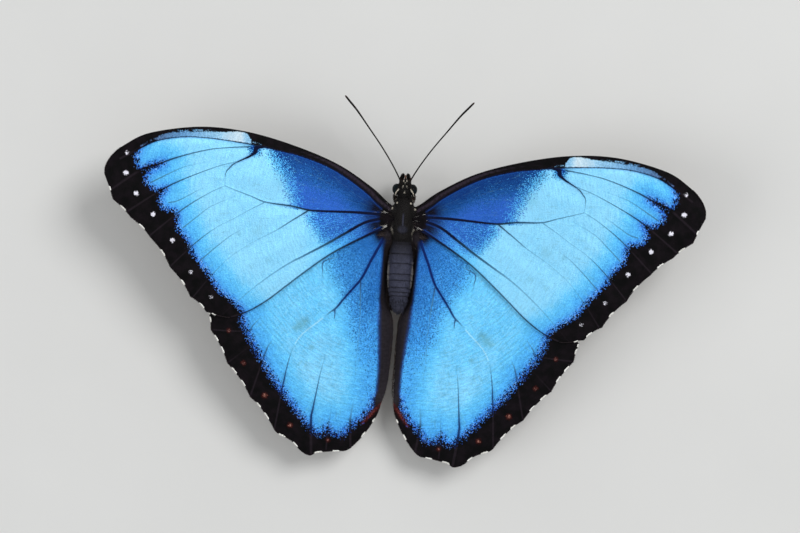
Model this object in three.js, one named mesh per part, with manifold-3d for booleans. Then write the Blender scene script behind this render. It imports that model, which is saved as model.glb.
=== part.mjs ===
// A blue morpho butterfly, standing with its wings spread, at life size.
// Millimetres, +Z up, feet on Z = 0. The head points to -Y, so +X is the butterfly's own left.
//
// Places on the body are given as (out, fore, up): out from the body's middle plane, fore towards the
// head, and up from the floor. The same numbers serve both sides.

import * as THREE from 'three';
import { mergeVertices } from 'three/addons/utils/BufferGeometryUtils.js';
import Module from 'manifold-3d';

const wasm = await Module();
wasm.setup();

// ---------------------------------------------------------------- driving dimensions

const GAP = 0.3;                       // clearance between neighbouring pieces
const WING_THICKNESS = 0.5;
const WING_ROOT = { out: 3, up: 10 };  // where the wings leave the thorax
const DIHEDRAL = THREE.MathUtils.degToRad(9);
const PITCH = THREE.MathUtils.degToRad(2.5);
const TIP_DROOP = 3.2;                 // how far the tip bends below the straight dihedral
const WING_LENGTH = 61;                // root to tip, along the span
const CAMBER = { depth: 1.0, crest: -10, reach: 30 };
const LAYER = 0.45;                    // forewing above and hindwing below the shared surface

const FOREWING_PIVOT = { out: 3, fore: 2 };
const HINDWING_PIVOT = { out: 3, fore: -1 };
const FOREWING_SWEEP = THREE.MathUtils.degToRad(1.2);   // left forward, right back
const HINDWING_SWEEP = THREE.MathUtils.degToRad(2.0);   // left spread, right closer to the body

const SIDES = [{ name: 'left', sign: 1 }, { name: 'right', sign: -1 }];

// ---------------------------------------------------------------- small helpers

const { smoothstep, lerp } = THREE.MathUtils;

const place = (sign, [out, fore, up]) => new THREE.Vector3(sign * out, -fore, up);

const flat = (points) => points.map(([out, fore]) => new THREE.Vector2(out, fore));

// Rows of numbers joined by a smooth curve through each column, sampled at even steps.
function smoothRows(rows, steps) {
  const samples = [];
  for (let i = 0; i <= steps; i += 1) {
    const at = (i / steps) * (rows.length - 1);
    const k = Math.min(Math.floor(at), rows.length - 2);
    const t = at - k;
    const pick = (index) => rows[THREE.MathUtils.clamp(index, 0, rows.length - 1)];
    samples.push(rows[0].map((_, column) => {
      const [a, b, c, d] = [k - 1, k, k + 1, k + 2].map((index) => pick(index)[column]);
      return b + 0.5 * t * (c - a + t * (2 * a - 5 * b + 4 * c - d + t * (3 * (b - c) + d - a)));
    }));
  }
  return samples;
}

// Triangles to a solid: welds shared corners, drops collapsed triangles and turns the faces outward.
function toSolid(positions, triangles) {
  const geometry = new THREE.BufferGeometry();
  geometry.setAttribute('position', new THREE.Float32BufferAttribute(positions, 3));
  geometry.setIndex(triangles);
  const welded = mergeVertices(geometry, 1e-4);
  const index = welded.index.array;
  const points = welded.attributes.position;
  const kept = [];
  let volume = 0;
  const [a, b, c] = [new THREE.Vector3(), new THREE.Vector3(), new THREE.Vector3()];
  for (let i = 0; i < index.length; i += 3) {
    const [p, q, r] = [index[i], index[i + 1], index[i + 2]];
    if (p !== q && q !== r && r !== p) {
      kept.push(p, q, r);
      a.fromBufferAttribute(points, p);
      b.fromBufferAttribute(points, q);
      c.fromBufferAttribute(points, r);
      volume += a.dot(b.cross(c));
    }
  }
  if (volume < 0) {
    kept.reverse();
  }
  return new wasm.Manifold(new wasm.Mesh({
    numProp: 3,
    vertProperties: new Float32Array(points.array),
    triVerts: new Uint32Array(kept),
  }));
}

// A closed skin over rings of equal size, each end closed by a strip across its ring.
function loft(rings) {
  const size = rings[0].length;
  const positions = rings.flat().flatMap((point) => point.toArray());
  const triangles = [];
  for (let i = 0; i + 1 < rings.length; i += 1) {
    for (let j = 0; j < size; j += 1) {
      const next = (j + 1) % size;
      const [a, b] = [i * size + j, i * size + next];
      const [c, d] = [a + size, b + size];
      triangles.push(a, b, d, a, d, c);
    }
  }
  const closeEnd = (start, turn) => {
    for (let low = 0, high = size - 1; high - low > 1; low += 1, high -= 1) {
      const strip = [[low, high, low + 1], [low + 1, high, high - 1]];
      strip.filter((corners) => new Set(corners).size === 3).forEach((corners) => {
        const [p, q, r] = corners.map((corner) => corner + start);
        triangles.push(...(turn ? [r, q, p] : [p, q, r]));
      });
    }
  };
  closeEnd(0, false);
  closeEnd((rings.length - 1) * size, true);
  return toSolid(positions, triangles);
}

// A tapered limb through joints [out, fore, up, radius], mitred at each joint.
function limb(sign, joints, sides) {
  const centres = joints.map((joint) => place(sign, joint));
  const side = new THREE.Vector3(1, 0, 0);
  const rings = centres.map((centre, i) => {
    const before = centres[Math.max(i - 1, 0)];
    const after = centres[Math.min(i + 1, centres.length - 1)];
    const along = new THREE.Vector3();
    along.add(after.clone().sub(centre).normalize()).add(centre.clone().sub(before).normalize());
    along.normalize();
    side.addScaledVector(along, -side.dot(along)).normalize();
    const across = new THREE.Vector3().crossVectors(along, side);
    return Array.from({ length: sides }, (_, j) => {
      const angle = (2 * Math.PI * j) / sides;
      return centre.clone()
        .addScaledVector(side, joints[i][3] * Math.cos(angle))
        .addScaledVector(across, joints[i][3] * Math.sin(angle));
    });
  });
  return loft(rings);
}

// A body section by section: [fore, up, half width, height above, height below].
function torso(sections, steps, sides, grow = 0) {
  return loft(smoothRows(sections, steps).map(([fore, up, width, above, below]) => (
    Array.from({ length: sides }, (_, j) => {
      const angle = (2 * Math.PI * j) / sides;
      const rise = Math.sin(angle);
      const reach = rise > 0 ? above : below;
      return new THREE.Vector3((width + grow) * Math.cos(angle), -fore, up + (reach + grow) * rise);
    }))));
}

function ellipsoid([x, y, z], [rx, ry, rz], columns, rows) {
  const geometry = new THREE.SphereGeometry(1, columns, rows);
  geometry.scale(rx, ry, rz).translate(x, y, z);
  geometry.deleteAttribute('normal');
  geometry.deleteAttribute('uv');
  return toSolid(geometry.attributes.position.array, Array.from(geometry.index.array));
}

// A block from corner to corner, used to cut along flat planes.
function block(low, high) {
  const size = high.map((value, axis) => value - low[axis]);
  const geometry = new THREE.BoxGeometry(...size);
  geometry.translate(...low.map((value, axis) => value + size[axis] / 2));
  return toSolid(geometry.attributes.position.array, Array.from(geometry.index.array));
}

// Half spaces to keep: ahead of a limit, behind it, and above the floor.
const FAR = 200;
const aheadOf = (limit) => block([-FAR, -FAR, -FAR], [FAR, -limit, FAR]);
const behind = (limit) => block([-FAR, -limit, -FAR], [FAR, FAR, FAR]);
const aboveFloor = block([-FAR, -FAR, 0], [FAR, FAR, FAR]);

// ---------------------------------------------------------------- wing surfaces

// Height of the surface that both wings share: raised to the tip, pitched and gently cambered.
function sharedHeight(out, fore) {
  const span = out - WING_ROOT.out;
  const rise = span * Math.tan(DIHEDRAL) - TIP_DROOP * (span / WING_LENGTH) ** 2;
  const pitch = fore * Math.tan(PITCH);
  const camber = CAMBER.depth * ((fore - CAMBER.crest) / CAMBER.reach) ** 2;
  return WING_ROOT.up + rise + pitch - camber;
}

const forewingSurface = (out, fore) => [out, fore, sharedHeight(out, fore) + LAYER];

// The hindwing's inner margin rolls down beside the abdomen and tucks in under it. Behind the abdomen
// it slopes to the middle line.
const FOLD = {
  start: { beside: 4.8, behind: 3.9 },
  radius: { beside: 1.05, behind: 2.6 },
  angle: { root: 20, beside: 80, left: 36, right: 56, tip: 6 },
  tuckRadius: 3.2,
};

function foldAt(fore, side) {
  const behind = smoothstep(-fore, 14.5, 20);
  const fromRoot = smoothstep(-fore, 1, 4.5);
  const toTip = smoothstep(-fore, 27, 41);
  const beside = lerp(FOLD.angle.root, FOLD.angle.beside, fromRoot);
  const angle = lerp(lerp(beside, FOLD.angle[side], behind), FOLD.angle.tip, toTip);
  return {
    start: lerp(FOLD.start.beside, FOLD.start.behind, behind),
    radius: lerp(FOLD.radius.beside, FOLD.radius.behind, behind),
    angle: THREE.MathUtils.degToRad(angle),
    tuck: (fromRoot * (1 - behind)) / FOLD.tuckRadius + 1e-6,
  };
}

// The flat wing laid over its fold: first it bends down, and then it bends back in under the body.
function hindwingSurface(out, fore, side) {
  const { start, radius, angle, tuck } = foldAt(fore, side);
  const length = Math.max(start - out, 0);
  const turn = Math.min(length / radius, angle);
  const last = angle - tuck * Math.max(length - radius * angle, 0);
  const inward = radius * Math.sin(turn) + (Math.sin(angle) - Math.sin(last)) / tuck;
  const down = radius * (1 - Math.cos(turn)) + (Math.cos(last) - Math.cos(angle)) / tuck;
  const shown = Math.max(out, start);
  return [shown - inward, fore, sharedHeight(shown, fore) - LAYER - down];
}

// ---------------------------------------------------------------- wing outlines

// A wing edge drawn with a smooth stretch and then bays from tooth to tooth. A bay's depth is
// positive where the edge runs inside the straight line between its two teeth.
function edge(smooth, teeth, inside) {
  const path = new THREE.Path();
  path.moveTo(...smooth[0]);
  path.splineThru(flat(smooth.slice(1)));
  let last = new THREE.Vector2(...smooth[smooth.length - 1]);
  for (const [out, fore, depth] of teeth) {
    const tooth = new THREE.Vector2(out, fore);
    const middle = last.clone().lerp(tooth, 0.5);
    const inward = new THREE.Vector2(...inside).sub(middle).normalize();
    const bend = middle.addScaledVector(inward, 2 * depth);
    path.quadraticCurveTo(bend.x, bend.y, tooth.x, tooth.y);
    last = tooth;
  }
  return path;
}

const COSTA = [
  [1.8, 5.2], [3.6, 6.3], [7.4, 9.3], [15, 13.6], [25, 16.9], [35, 18.9], [45, 19.1], [55, 17],
  [60, 14.2], [62.6, 11.8], [63.9, 9.4], [64, 7.6],
];
const FOREWING_HIND_MARGIN = [
  [1.8, 0.9], [4, 0.4], [10, -2.9], [15, -6], [20, -10.1], [27.6, -16.8], [31.5, -19.4], [35, -20.9],
  [38.6, -20.6],
];
const FOREWING_TEETH = [
  [40.4, -20.1, 0.1], [44, -17.1, 0.2], [48.7, -11.2, 0.3], [53.3, -5.2, 0.3], [57.7, -0.8, 0.3],
  [61.8, 2.9, 0.3], [64, 7.6, 0.1],
];

const HINDWING_COSTA = [
  [1.6, 1], [4, 1.6], [8, 0.9], [14, -1.5], [20, -4.6], [26, -8.4], [32, -12.9], [37, -17.1],
  [39.7, -20.4],
];
const HINDWING_OUTER_TEETH = [[38.9, -24.4, 0.1], [34.8, -31.2, 0.35], [29.4, -38, 0.4]];
const INNER_MARGIN = [
  [1.6, -1.4], [1.4, -4], [0.6, -8], [0.3, -13], [-0.2, -18], [-0.6, -23], [-0.5, -28], [0.1, -33],
  [1.1, -36.6], [1.8, -39.2],
];
const HINDWING_HIND_TEETH = [
  [7, -47.2, -0.3], [14.2, -48.8, -0.05], [15.6, -49.6, 0], [17.4, -49.1, -0.1], [18.4, -47.7, 0],
  [23.7, -45.2, 0.15], [29.4, -38, 0.45],
];

const forewingEdges = [
  edge(COSTA, [], [30, 0]),
  edge(FOREWING_HIND_MARGIN, FOREWING_TEETH, [30, 0]),
];
const hindwingEdges = [
  edge(HINDWING_COSTA, HINDWING_OUTER_TEETH, [15, -25]),
  edge(INNER_MARGIN, HINDWING_HIND_TEETH, [15, -25]),
];

// ---------------------------------------------------------------- wing solids

function sweep(point, pivot, angle) {
  const [out, fore, up] = point;
  const [x, y] = [out - pivot.out, fore - pivot.fore];
  return [
    pivot.out + x * Math.cos(angle) - y * Math.sin(angle),
    pivot.fore + x * Math.sin(angle) + y * Math.cos(angle),
    up,
  ];
}

// A sheet of even thickness between two edges of a wing: at each station a thin ring runs out over
// the top from one edge to the other and back underneath.
function wingSolid(edges, surface, chord, stations, put) {
  const [front, hind] = edges.map((path) => path.getSpacedPoints(stations));
  const step = 0.05;
  const rings = front.map((start, i) => {
    const row = chord(start, hind[i]).map((t) => {
      const [out, fore] = start.clone().lerp(hind[i], t).toArray();
      const centre = put(surface(out, fore));
      const outward = put(surface(out + step, fore)).sub(centre);
      const forward = put(surface(out, fore + step)).sub(centre);
      const normal = outward.cross(forward).normalize();
      if (normal.z < 0) {
        normal.negate();
      }
      return { centre, normal: normal.multiplyScalar(WING_THICKNESS / 2) };
    });
    const top = row.map(({ centre, normal }) => centre.clone().add(normal));
    const bottom = row.map(({ centre, normal }) => centre.clone().sub(normal));
    return [...top, ...bottom.reverse()];
  });
  return loft(rings);
}

const FOREWING_STATIONS = 36;
const FOREWING_CHORD = [0, 0.25, 0.5, 0.75, 1];
const HINDWING_STATIONS = 37;
const FLAT_CHORD = [0, 0.4, 0.75];               // shares of the way from the costa to the fold
const FOLD_CHORD = [0, 0.15, 0.32, 0.66, 1];     // and of the way from there to the margin
const LEAST_FOLD = 0.06;                         // least share of the chord that the fold rows take

// The share of a chord, counted from the front, at which it meets the start of the fold.
function foldShare(front, hind, side) {
  let share = 0;
  for (let i = 0; i < 4; i += 1) {
    const fore = lerp(hind.y, front.y, share);
    share = (foldAt(fore, side).start - hind.x) / (front.x - hind.x);
    share = Math.min(Math.max(share, LEAST_FOLD), 1 - LEAST_FOLD);
  }
  return 1 - share;
}

function hindwingChord(front, hind, side) {
  const crease = front.distanceTo(hind) > GAP ? foldShare(front, hind, side) : 1 - LEAST_FOLD;
  return [
    ...FLAT_CHORD.map((t) => t * crease),
    ...FOLD_CHORD.map((t) => lerp(crease, 1, t)),
  ];
}

const forewing = ({ sign }) => wingSolid(
  forewingEdges,
  forewingSurface,
  () => FOREWING_CHORD,
  FOREWING_STATIONS,
  (point) => place(sign, sweep(point, FOREWING_PIVOT, sign * FOREWING_SWEEP)),
);

const hindwing = ({ sign, name }) => wingSolid(
  hindwingEdges,
  (out, fore) => hindwingSurface(out, fore, name),
  (front, hind) => hindwingChord(front, hind, name),
  HINDWING_STATIONS,
  (point) => place(sign, sweep(point, HINDWING_PIVOT, sign * HINDWING_SWEEP)),
);

// ---------------------------------------------------------------- body

// Sections: [fore, up, half width, height above, height below].
const THORAX = [
  [8.0, 8.5, 0.6, 0.6, 0.6], [7.4, 8.5, 1.3, 1.3, 1.3], [6.6, 8.5, 1.85, 1.9, 2.0],
  [5.2, 8.5, 2.35, 2.7, 2.7], [3.0, 8.5, 2.5, 3.0, 3.1], [1.0, 8.5, 2.5, 2.8, 3.1],
  [-0.8, 8.5, 2.3, 2.3, 2.8], [-2.2, 8.5, 2.0, 1.9, 2.2], [-3.0, 8.5, 1.4, 1.3, 1.4],
];
const ABDOMEN = [
  [0.0, 8.5, 1.5, 1.4, 1.5], [-1.4, 8.5, 2.0, 1.95, 2.1], [-4, 8.4, 2.35, 2.25, 2.3],
  [-7, 8.3, 2.6, 2.4, 2.4], [-10, 8.1, 2.6, 2.35, 2.35], [-13, 7.8, 2.2, 2.05, 2.0],
  [-15.4, 7.5, 1.6, 1.5, 1.4], [-16.8, 7.35, 0.95, 0.9, 0.9], [-17.3, 7.3, 0.4, 0.4, 0.4],
];
const HEAD = [
  [6.8, 8.5, 0.9, 0.9, 0.9], [7.6, 8.5, 1.35, 1.4, 1.4], [8.4, 8.5, 1.8, 1.75, 1.8],
  [9.4, 8.5, 1.85, 1.8, 1.9], [10.4, 8.45, 1.55, 1.5, 1.7], [11.1, 8.4, 0.95, 1.0, 1.2],
  [11.4, 8.4, 0.4, 0.45, 0.5],
];
const NECK = 7.35;       // cut between head and thorax
const WAIST = -1.9;      // cut between thorax and abdomen
const BODY_SIDES = 20;
const TORSO_STEPS = 16;

const EYE = { centre: [1.7, 9.25, 8.75], radii: [1.0, 1.2, 1.4] };

const bodyCore = torso(THORAX, TORSO_STEPS, BODY_SIDES);
const bodyCleared = torso(THORAX, TORSO_STEPS, BODY_SIDES, GAP);
const abdomenCore = torso(ABDOMEN, TORSO_STEPS, BODY_SIDES);
const abdomenCleared = torso(ABDOMEN, TORSO_STEPS, BODY_SIDES, GAP);
const headCore = torso(HEAD, TORSO_STEPS, BODY_SIDES);

const thorax = bodyCore.intersect(behind(NECK - GAP / 2)).intersect(aheadOf(WAIST + GAP / 2));
const abdomen = abdomenCore.intersect(behind(WAIST - GAP / 2));

function eye({ sign }, grow = 0) {
  const [out, fore, up] = EYE.centre;
  const [width, length, height] = EYE.radii.map((radius) => radius + grow);
  return ellipsoid([sign * out, -fore, up], [width, length, height], 14, 10);
}

const eyeSockets = eye(SIDES[0], GAP).add(eye(SIDES[1], GAP));
const head = headCore.intersect(aheadOf(NECK + GAP / 2)).subtract(eyeSockets);
const headCleared = torso(HEAD, TORSO_STEPS, BODY_SIDES, GAP);

// ---------------------------------------------------------------- mouth parts and antennae

const PALP = [
  [0.95, 9.9, 6.9, 0.3], [1.0, 10.7, 6.55, 0.5], [0.95, 11.6, 6.9, 0.58], [0.85, 12.4, 7.9, 0.55],
  [0.75, 12.8, 9.0, 0.42], [0.72, 12.95, 9.9, 0.27],
];
const ANTENNA = [
  [0.75, 9.9, 9.6, 0.3], [1.15, 11.2, 10.5, 0.34], [2.85, 14.2, 11.7, 0.27], [5.4, 18.0, 12.8, 0.26],
  [8.3, 21.8, 13.7, 0.26], [11.0, 25.3, 14.3, 0.29], [12.8, 27.3, 14.6, 0.36],
  [13.8, 28.4, 14.7, 0.3],
];
const LIMB_SIDES = 8;
const smoothLimb = (sign, joints, steps) => limb(sign, smoothRows(joints, steps), LIMB_SIDES);

const palp = ({ sign }) => smoothLimb(sign, PALP, 9).subtract(headCleared);
const antenna = ({ sign }) => smoothLimb(sign, ANTENNA, 20).subtract(headCleared);

// The proboscis is coiled like a watch spring under the head, between the palps.
const PROBOSCIS = { fore: 11.2, up: 5.35, inner: 0.45, outer: 1.35, turns: 1.6, radius: 0.26, steps: 26 };

function proboscis() {
  const coil = Array.from({ length: PROBOSCIS.steps + 1 }, (_, i) => {
    const t = i / PROBOSCIS.steps;
    const radius = lerp(PROBOSCIS.outer, PROBOSCIS.inner, t);
    const angle = Math.PI * (1.1 - 2 * PROBOSCIS.turns * t);
    return [0, PROBOSCIS.fore + radius * Math.cos(angle), PROBOSCIS.up + radius * Math.sin(angle)];
  });
  const stem = [0, 9.6, 6.3];
  return limb(1, [stem, ...coil].map((point) => [...point, PROBOSCIS.radius]), LIMB_SIDES)
    .subtract(headCleared);
}

// ---------------------------------------------------------------- legs

// Joints from the hip to the toe: [out, fore, up, radius]. The front pair is short and folded under
// the chest, and the other two pairs carry the body.
const TOE_UP = 0.2;
const LEGS = {
  front: [
    [0.9, 4.9, 6.4, 0.6], [1.35, 6.1, 5.0, 0.5], [2.0, 7.9, 4.9, 0.4], [2.0, 8.9, 5.0, 0.34],
    [1.5, 9.1, 4.3, 0.3], [1.05, 8.1, 3.7, 0.27],
  ],
  mid: [
    [1.2, 2.4, 6.4, 0.8], [2.0, 2.6, 5.1, 0.6], [4.8, 3.6, 6.0, 0.58], [7.9, 4.6, 7.3, 0.45],
    [8.5, 4.5, 6.9, 0.4], [9.9, 3.6, 3.4, 0.34], [11.0, 2.9, 0.9, 0.32], [11.5, 2.6, TOE_UP, 0.31],
    [13.2, 1.7, TOE_UP, 0.3], [14.9, 0.9, TOE_UP, 0.28],
  ],
  hind: [
    [1.2, -0.3, 6.4, 0.8], [1.9, -1.0, 5.1, 0.6], [3.9, -3.6, 5.2, 0.58], [6.3, -6.3, 6.5, 0.45],
    [6.8, -7.0, 6.2, 0.4], [7.8, -10.2, 3.3, 0.34], [8.5, -12.8, 0.9, 0.32],
    [8.7, -13.5, TOE_UP, 0.31], [9.2, -16.0, TOE_UP, 0.3], [9.7, -18.4, TOE_UP, 0.28],
  ],
};
// How far each foot is set forward of the mirror pose.
const STAGGER = {
  front: { left: 0, right: 0 },
  mid: { left: 0.5, right: -0.5 },
  hind: { left: -0.6, right: 0.4 },
};

function leg(pair, { sign, name }) {
  const hipHeight = LEGS[pair][0][2];
  const joints = LEGS[pair].map(([out, fore, up, radius]) => {
    const reach = 1 - up / hipHeight;
    return [out, fore + STAGGER[pair][name] * Math.max(reach, 0), up, radius];
  });
  return limb(sign, joints, LIMB_SIDES).intersect(aboveFloor).subtract(bodyCleared);
}

// ---------------------------------------------------------------- the model

const FINISH = {
  forewing: { color: 0x4aa6f0, roughness: 0.45, metalness: 0.3 },
  hindwing: { color: 0x3c93ea, roughness: 0.45, metalness: 0.3 },
  thorax: { color: 0x23221f, roughness: 0.9, metalness: 0 },
  abdomen: { color: 0x4d4c52, roughness: 0.85, metalness: 0 },
  head: { color: 0x1e1c1b, roughness: 0.9, metalness: 0 },
  eye: { color: 0x2a1a12, roughness: 0.2, metalness: 0 },
  palp: { color: 0x8a4a2c, roughness: 0.85, metalness: 0 },
  antenna: { color: 0x120f0e, roughness: 0.6, metalness: 0 },
  proboscis: { color: 0x9a5a2a, roughness: 0.5, metalness: 0 },
  leg: { color: 0x5b4a3a, roughness: 0.7, metalness: 0 },
};

const butterfly = new THREE.Group();

function addNode(name, finish, solid) {
  const { vertProperties, triVerts } = solid.getMesh();
  const geometry = new THREE.BufferGeometry();
  geometry.setAttribute('position', new THREE.BufferAttribute(new Float32Array(vertProperties), 3));
  geometry.setIndex(new THREE.BufferAttribute(new Uint32Array(triVerts), 1));
  geometry.computeVertexNormals();
  const mesh = new THREE.Mesh(geometry, new THREE.MeshStandardMaterial(FINISH[finish]));
  mesh.name = name;
  butterfly.add(mesh);
}

addNode('head', 'head', head);
addNode('thorax', 'thorax', thorax);
addNode('abdomen', 'abdomen', abdomen);
addNode('proboscis', 'proboscis', proboscis());

for (const side of SIDES) {
  const half = side.sign > 0
    ? block([GAP / 2, -FAR, -FAR], [FAR, FAR, FAR])
    : block([-FAR, -FAR, -FAR], [-GAP / 2, FAR, FAR]);
  addNode(`eye_${side.name}`, 'eye', eye(side));
  addNode(`palp_${side.name}`, 'palp', palp(side));
  addNode(`antenna_${side.name}`, 'antenna', antenna(side));
  addNode(`forewing_${side.name}`, 'forewing', forewing(side).subtract(bodyCleared));
  addNode(`hindwing_${side.name}`, 'hindwing',
    hindwing(side).intersect(half).subtract(bodyCleared).subtract(abdomenCleared));
  for (const pair of Object.keys(LEGS)) {
    addNode(`leg_${pair}_${side.name}`, 'leg', leg(pair, side));
  }
}

// The origin is the middle of the model's footprint, at floor level.
const bounds = new THREE.Box3().setFromObject(butterfly);
const centre = bounds.getCenter(new THREE.Vector3());
butterfly.position.set(-centre.x, -centre.y, -bounds.min.z);

export default butterfly;
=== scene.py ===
import math

import bpy
import numpy as np
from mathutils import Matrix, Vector, geometry


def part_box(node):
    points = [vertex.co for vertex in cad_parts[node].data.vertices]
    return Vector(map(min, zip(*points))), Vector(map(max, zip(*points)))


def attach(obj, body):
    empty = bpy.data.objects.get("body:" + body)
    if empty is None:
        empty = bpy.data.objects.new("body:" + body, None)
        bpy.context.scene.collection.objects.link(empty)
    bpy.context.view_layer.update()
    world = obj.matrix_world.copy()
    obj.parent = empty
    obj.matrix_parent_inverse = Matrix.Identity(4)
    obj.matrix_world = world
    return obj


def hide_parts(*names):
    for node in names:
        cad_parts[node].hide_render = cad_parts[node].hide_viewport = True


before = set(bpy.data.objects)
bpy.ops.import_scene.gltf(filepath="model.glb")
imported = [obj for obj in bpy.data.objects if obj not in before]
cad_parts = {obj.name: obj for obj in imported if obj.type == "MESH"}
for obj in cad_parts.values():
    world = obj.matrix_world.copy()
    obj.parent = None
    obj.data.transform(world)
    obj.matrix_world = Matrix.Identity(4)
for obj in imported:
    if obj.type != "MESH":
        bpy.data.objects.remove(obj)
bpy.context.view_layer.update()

# A blue morpho butterfly's looks. Work is in millimetres in the body's own frame, (out, fore, up):
# out from the body's middle plane, fore towards the head, and up from the floor. put() gives metres.

MM = 0.001
TAIL_FORE = -17.3          # where the abdomen ends in the body's frame
thorax_low, thorax_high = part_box("thorax")
SHIFT_X = (thorax_low.x + thorax_high.x) / 2
SHIFT_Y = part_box("abdomen")[1].y + TAIL_FORE * MM
SIDES = {"left": 1, "right": -1}


def put(points):
    """Body-frame millimetres to the frame's metres."""
    points = np.asarray(points, float)
    x = points[..., 0] * MM + SHIFT_X
    y = -points[..., 1] * MM + SHIFT_Y
    return np.stack([x, y, points[..., 2] * MM], -1)


def body_frame(points):
    """The frame's metres back to body-frame millimetres, with out negative on the right."""
    x, y, z = np.asarray(points, float).T
    return np.stack([(x - SHIFT_X) / MM, -(y - SHIFT_Y) / MM, z / MM], 1)


def mirrored(rows, side):
    """Rows that start with out, as drawn for the left side, for either side."""
    rows = np.array(rows, float)
    rows[..., 0] *= SIDES[side]
    return rows


# ---------------------------------------------------------------- lines and fields


def smooth_rows(rows, steps):
    """Rows of numbers joined by a smooth curve through each column, sampled at even steps."""
    rows = np.asarray(rows, float)
    at = np.linspace(0, len(rows) - 1, steps + 1)
    k = np.minimum(at.astype(int), len(rows) - 2)
    t = (at - k)[:, None]
    a, b, c, d = (rows[np.clip(k + i, 0, len(rows) - 1)] for i in (-1, 0, 1, 2))
    return b + 0.5 * t * (c - a + t * (2 * a - 5 * b + 4 * c - d + t * (3 * (b - c) + d - a)))


def curve(points, per_row=8):
    return smooth_rows(points, per_row * (len(points) - 1))


def measured(line):
    """Distance along the line at each of its points."""
    steps = np.linalg.norm(np.diff(line, axis=0), axis=1)
    return np.concatenate([[0], np.cumsum(steps)])


def even(line, step):
    """The same line with points at even distances, its ends kept."""
    line = np.asarray(line, float)
    along = measured(line)
    at = np.linspace(0, along[-1], max(int(round(along[-1] / step)), 1) + 1)
    return np.stack([np.interp(at, along, column) for column in line.T], 1)


def distance(points, line):
    """Each point's distance to a line, and the share of the line's length at the nearest place."""
    along = measured(line)
    best = np.full(len(points), np.inf)
    share = np.zeros(len(points))
    for k in range(len(line) - 1):
        step = line[k + 1] - line[k]
        size = step @ step
        if size == 0:
            continue
        t = np.clip((points - line[k]) @ step / size, 0, 1)
        gap = np.linalg.norm(points - line[k] - t[:, None] * step, axis=1)
        nearer = gap < best
        best = np.where(nearer, gap, best)
        share = np.where(nearer, along[k] + t * (along[k + 1] - along[k]), share)
    return best, share / along[-1]


def within(points, polygon):
    x, y = points.T
    found = np.zeros(len(points), bool)
    for (x1, y1), (x2, y2) in zip(polygon, np.roll(polygon, -1, axis=0)):
        crosses = (y1 > y) != (y2 > y)
        if y1 != y2:
            found ^= crosses & (x < (x2 - x1) * (y - y1) / (y2 - y1) + x1)
    return found


def depth_in(points, polygon):
    """Distance from the polygon's edge: positive inside it, negative outside."""
    polygon = np.asarray(polygon, float)
    gap, _ = distance(points, np.concatenate([polygon, polygon[:1]]))
    return np.where(within(points, polygon), gap, -gap)


def ease(value, low, high):
    t = np.clip((value - low) / (high - low), 0, 1)
    return t * t * (3 - 2 * t)


def mix(a, b, share):
    return a + (b - a) * share


def keyed(share, values):
    """Values spread evenly over 0 to 1, read at share."""
    return np.interp(share, np.linspace(0, 1, len(values)), values)


def unit(vectors):
    return vectors / np.maximum(np.linalg.norm(vectors, axis=-1, keepdims=True), 1e-12)


# ---------------------------------------------------------------- wing surfaces, as in the CAD

WING_ROOT = (3, 10)
DIHEDRAL = math.radians(9)
PITCH = math.radians(2.5)
TIP_DROOP = 3.2
WING_LENGTH = 61
CAMBER_DEPTH, CAMBER_CREST, CAMBER_REACH = 1.0, -10, 30
LAYER = 0.45
FOREWING_PIVOT, FOREWING_SWEEP = (3, 2), math.radians(1.2)
HINDWING_PIVOT, HINDWING_SWEEP = (3, -1), math.radians(2.0)
# The hindwing's fold, beside the abdomen and behind it: where it starts, and how sharply it bends.
FOLD_START = (4.8, 3.9)
FOLD_RADIUS = (1.05, 2.6)
TUCK_RADIUS = 3.2              # the bend back in under the abdomen
FOLD_TURNS = (20, 80)          # degrees, at the wing's root and beside the abdomen
FOLD_BEHIND = {"left": 36, "right": 56}
FOLD_TAIL = 6
# where these change over, as distances tailward
FOLD_BEGINS, FOLD_OPENS, FOLD_FLATTENS = (1, 4.5), (14.5, 20), (27, 41)
STRAIGHT = 1e-6                # a bend too slight to see, which keeps the division safe


def shared_height(out, fore):
    span = out - WING_ROOT[0]
    rise = span * math.tan(DIHEDRAL) - TIP_DROOP * (span / WING_LENGTH) ** 2
    camber = CAMBER_DEPTH * ((fore - CAMBER_CREST) / CAMBER_REACH) ** 2
    return WING_ROOT[1] + rise + fore * math.tan(PITCH) - camber


def forewing_surface(out, fore, side):
    return np.stack([out, fore, shared_height(out, fore) + LAYER], -1)


def hindwing_surface(out, fore, side):
    """The flat wing laid over its fold: the inner margin bends down beside the abdomen and then
    back in under it, and behind the abdomen it slopes to the middle line."""
    behind = ease(-fore, *FOLD_OPENS)
    from_root = ease(-fore, *FOLD_BEGINS)
    angle = mix(mix(*FOLD_TURNS, from_root), FOLD_BEHIND[side], behind)
    angle = np.radians(mix(angle, FOLD_TAIL, ease(-fore, *FOLD_FLATTENS)))
    start = mix(*FOLD_START, behind)
    radius = mix(*FOLD_RADIUS, behind)
    tuck = from_root * (1 - behind) / TUCK_RADIUS + STRAIGHT
    length = np.maximum(start - out, 0)
    turn = np.minimum(length / radius, angle)
    last = angle - tuck * np.maximum(length - radius * angle, 0)
    inward = radius * np.sin(turn) + (np.sin(angle) - np.sin(last)) / tuck
    down = radius * (1 - np.cos(turn)) + (np.cos(last) - np.cos(angle)) / tuck
    shown = np.maximum(out, start)
    return np.stack([shown - inward, fore, shared_height(shown, fore) - LAYER - down], -1)


def sweep(points, pivot, angle):
    x, y = points[..., 0] - pivot[0], points[..., 1] - pivot[1]
    out = pivot[0] + x * math.cos(angle) - y * math.sin(angle)
    fore = pivot[1] + x * math.sin(angle) + y * math.cos(angle)
    return np.stack([out, fore, points[..., 2]], -1)


EDGE_POINTS = 12           # along the wing's edge, for each step of its smooth stretch and each bay


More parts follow.
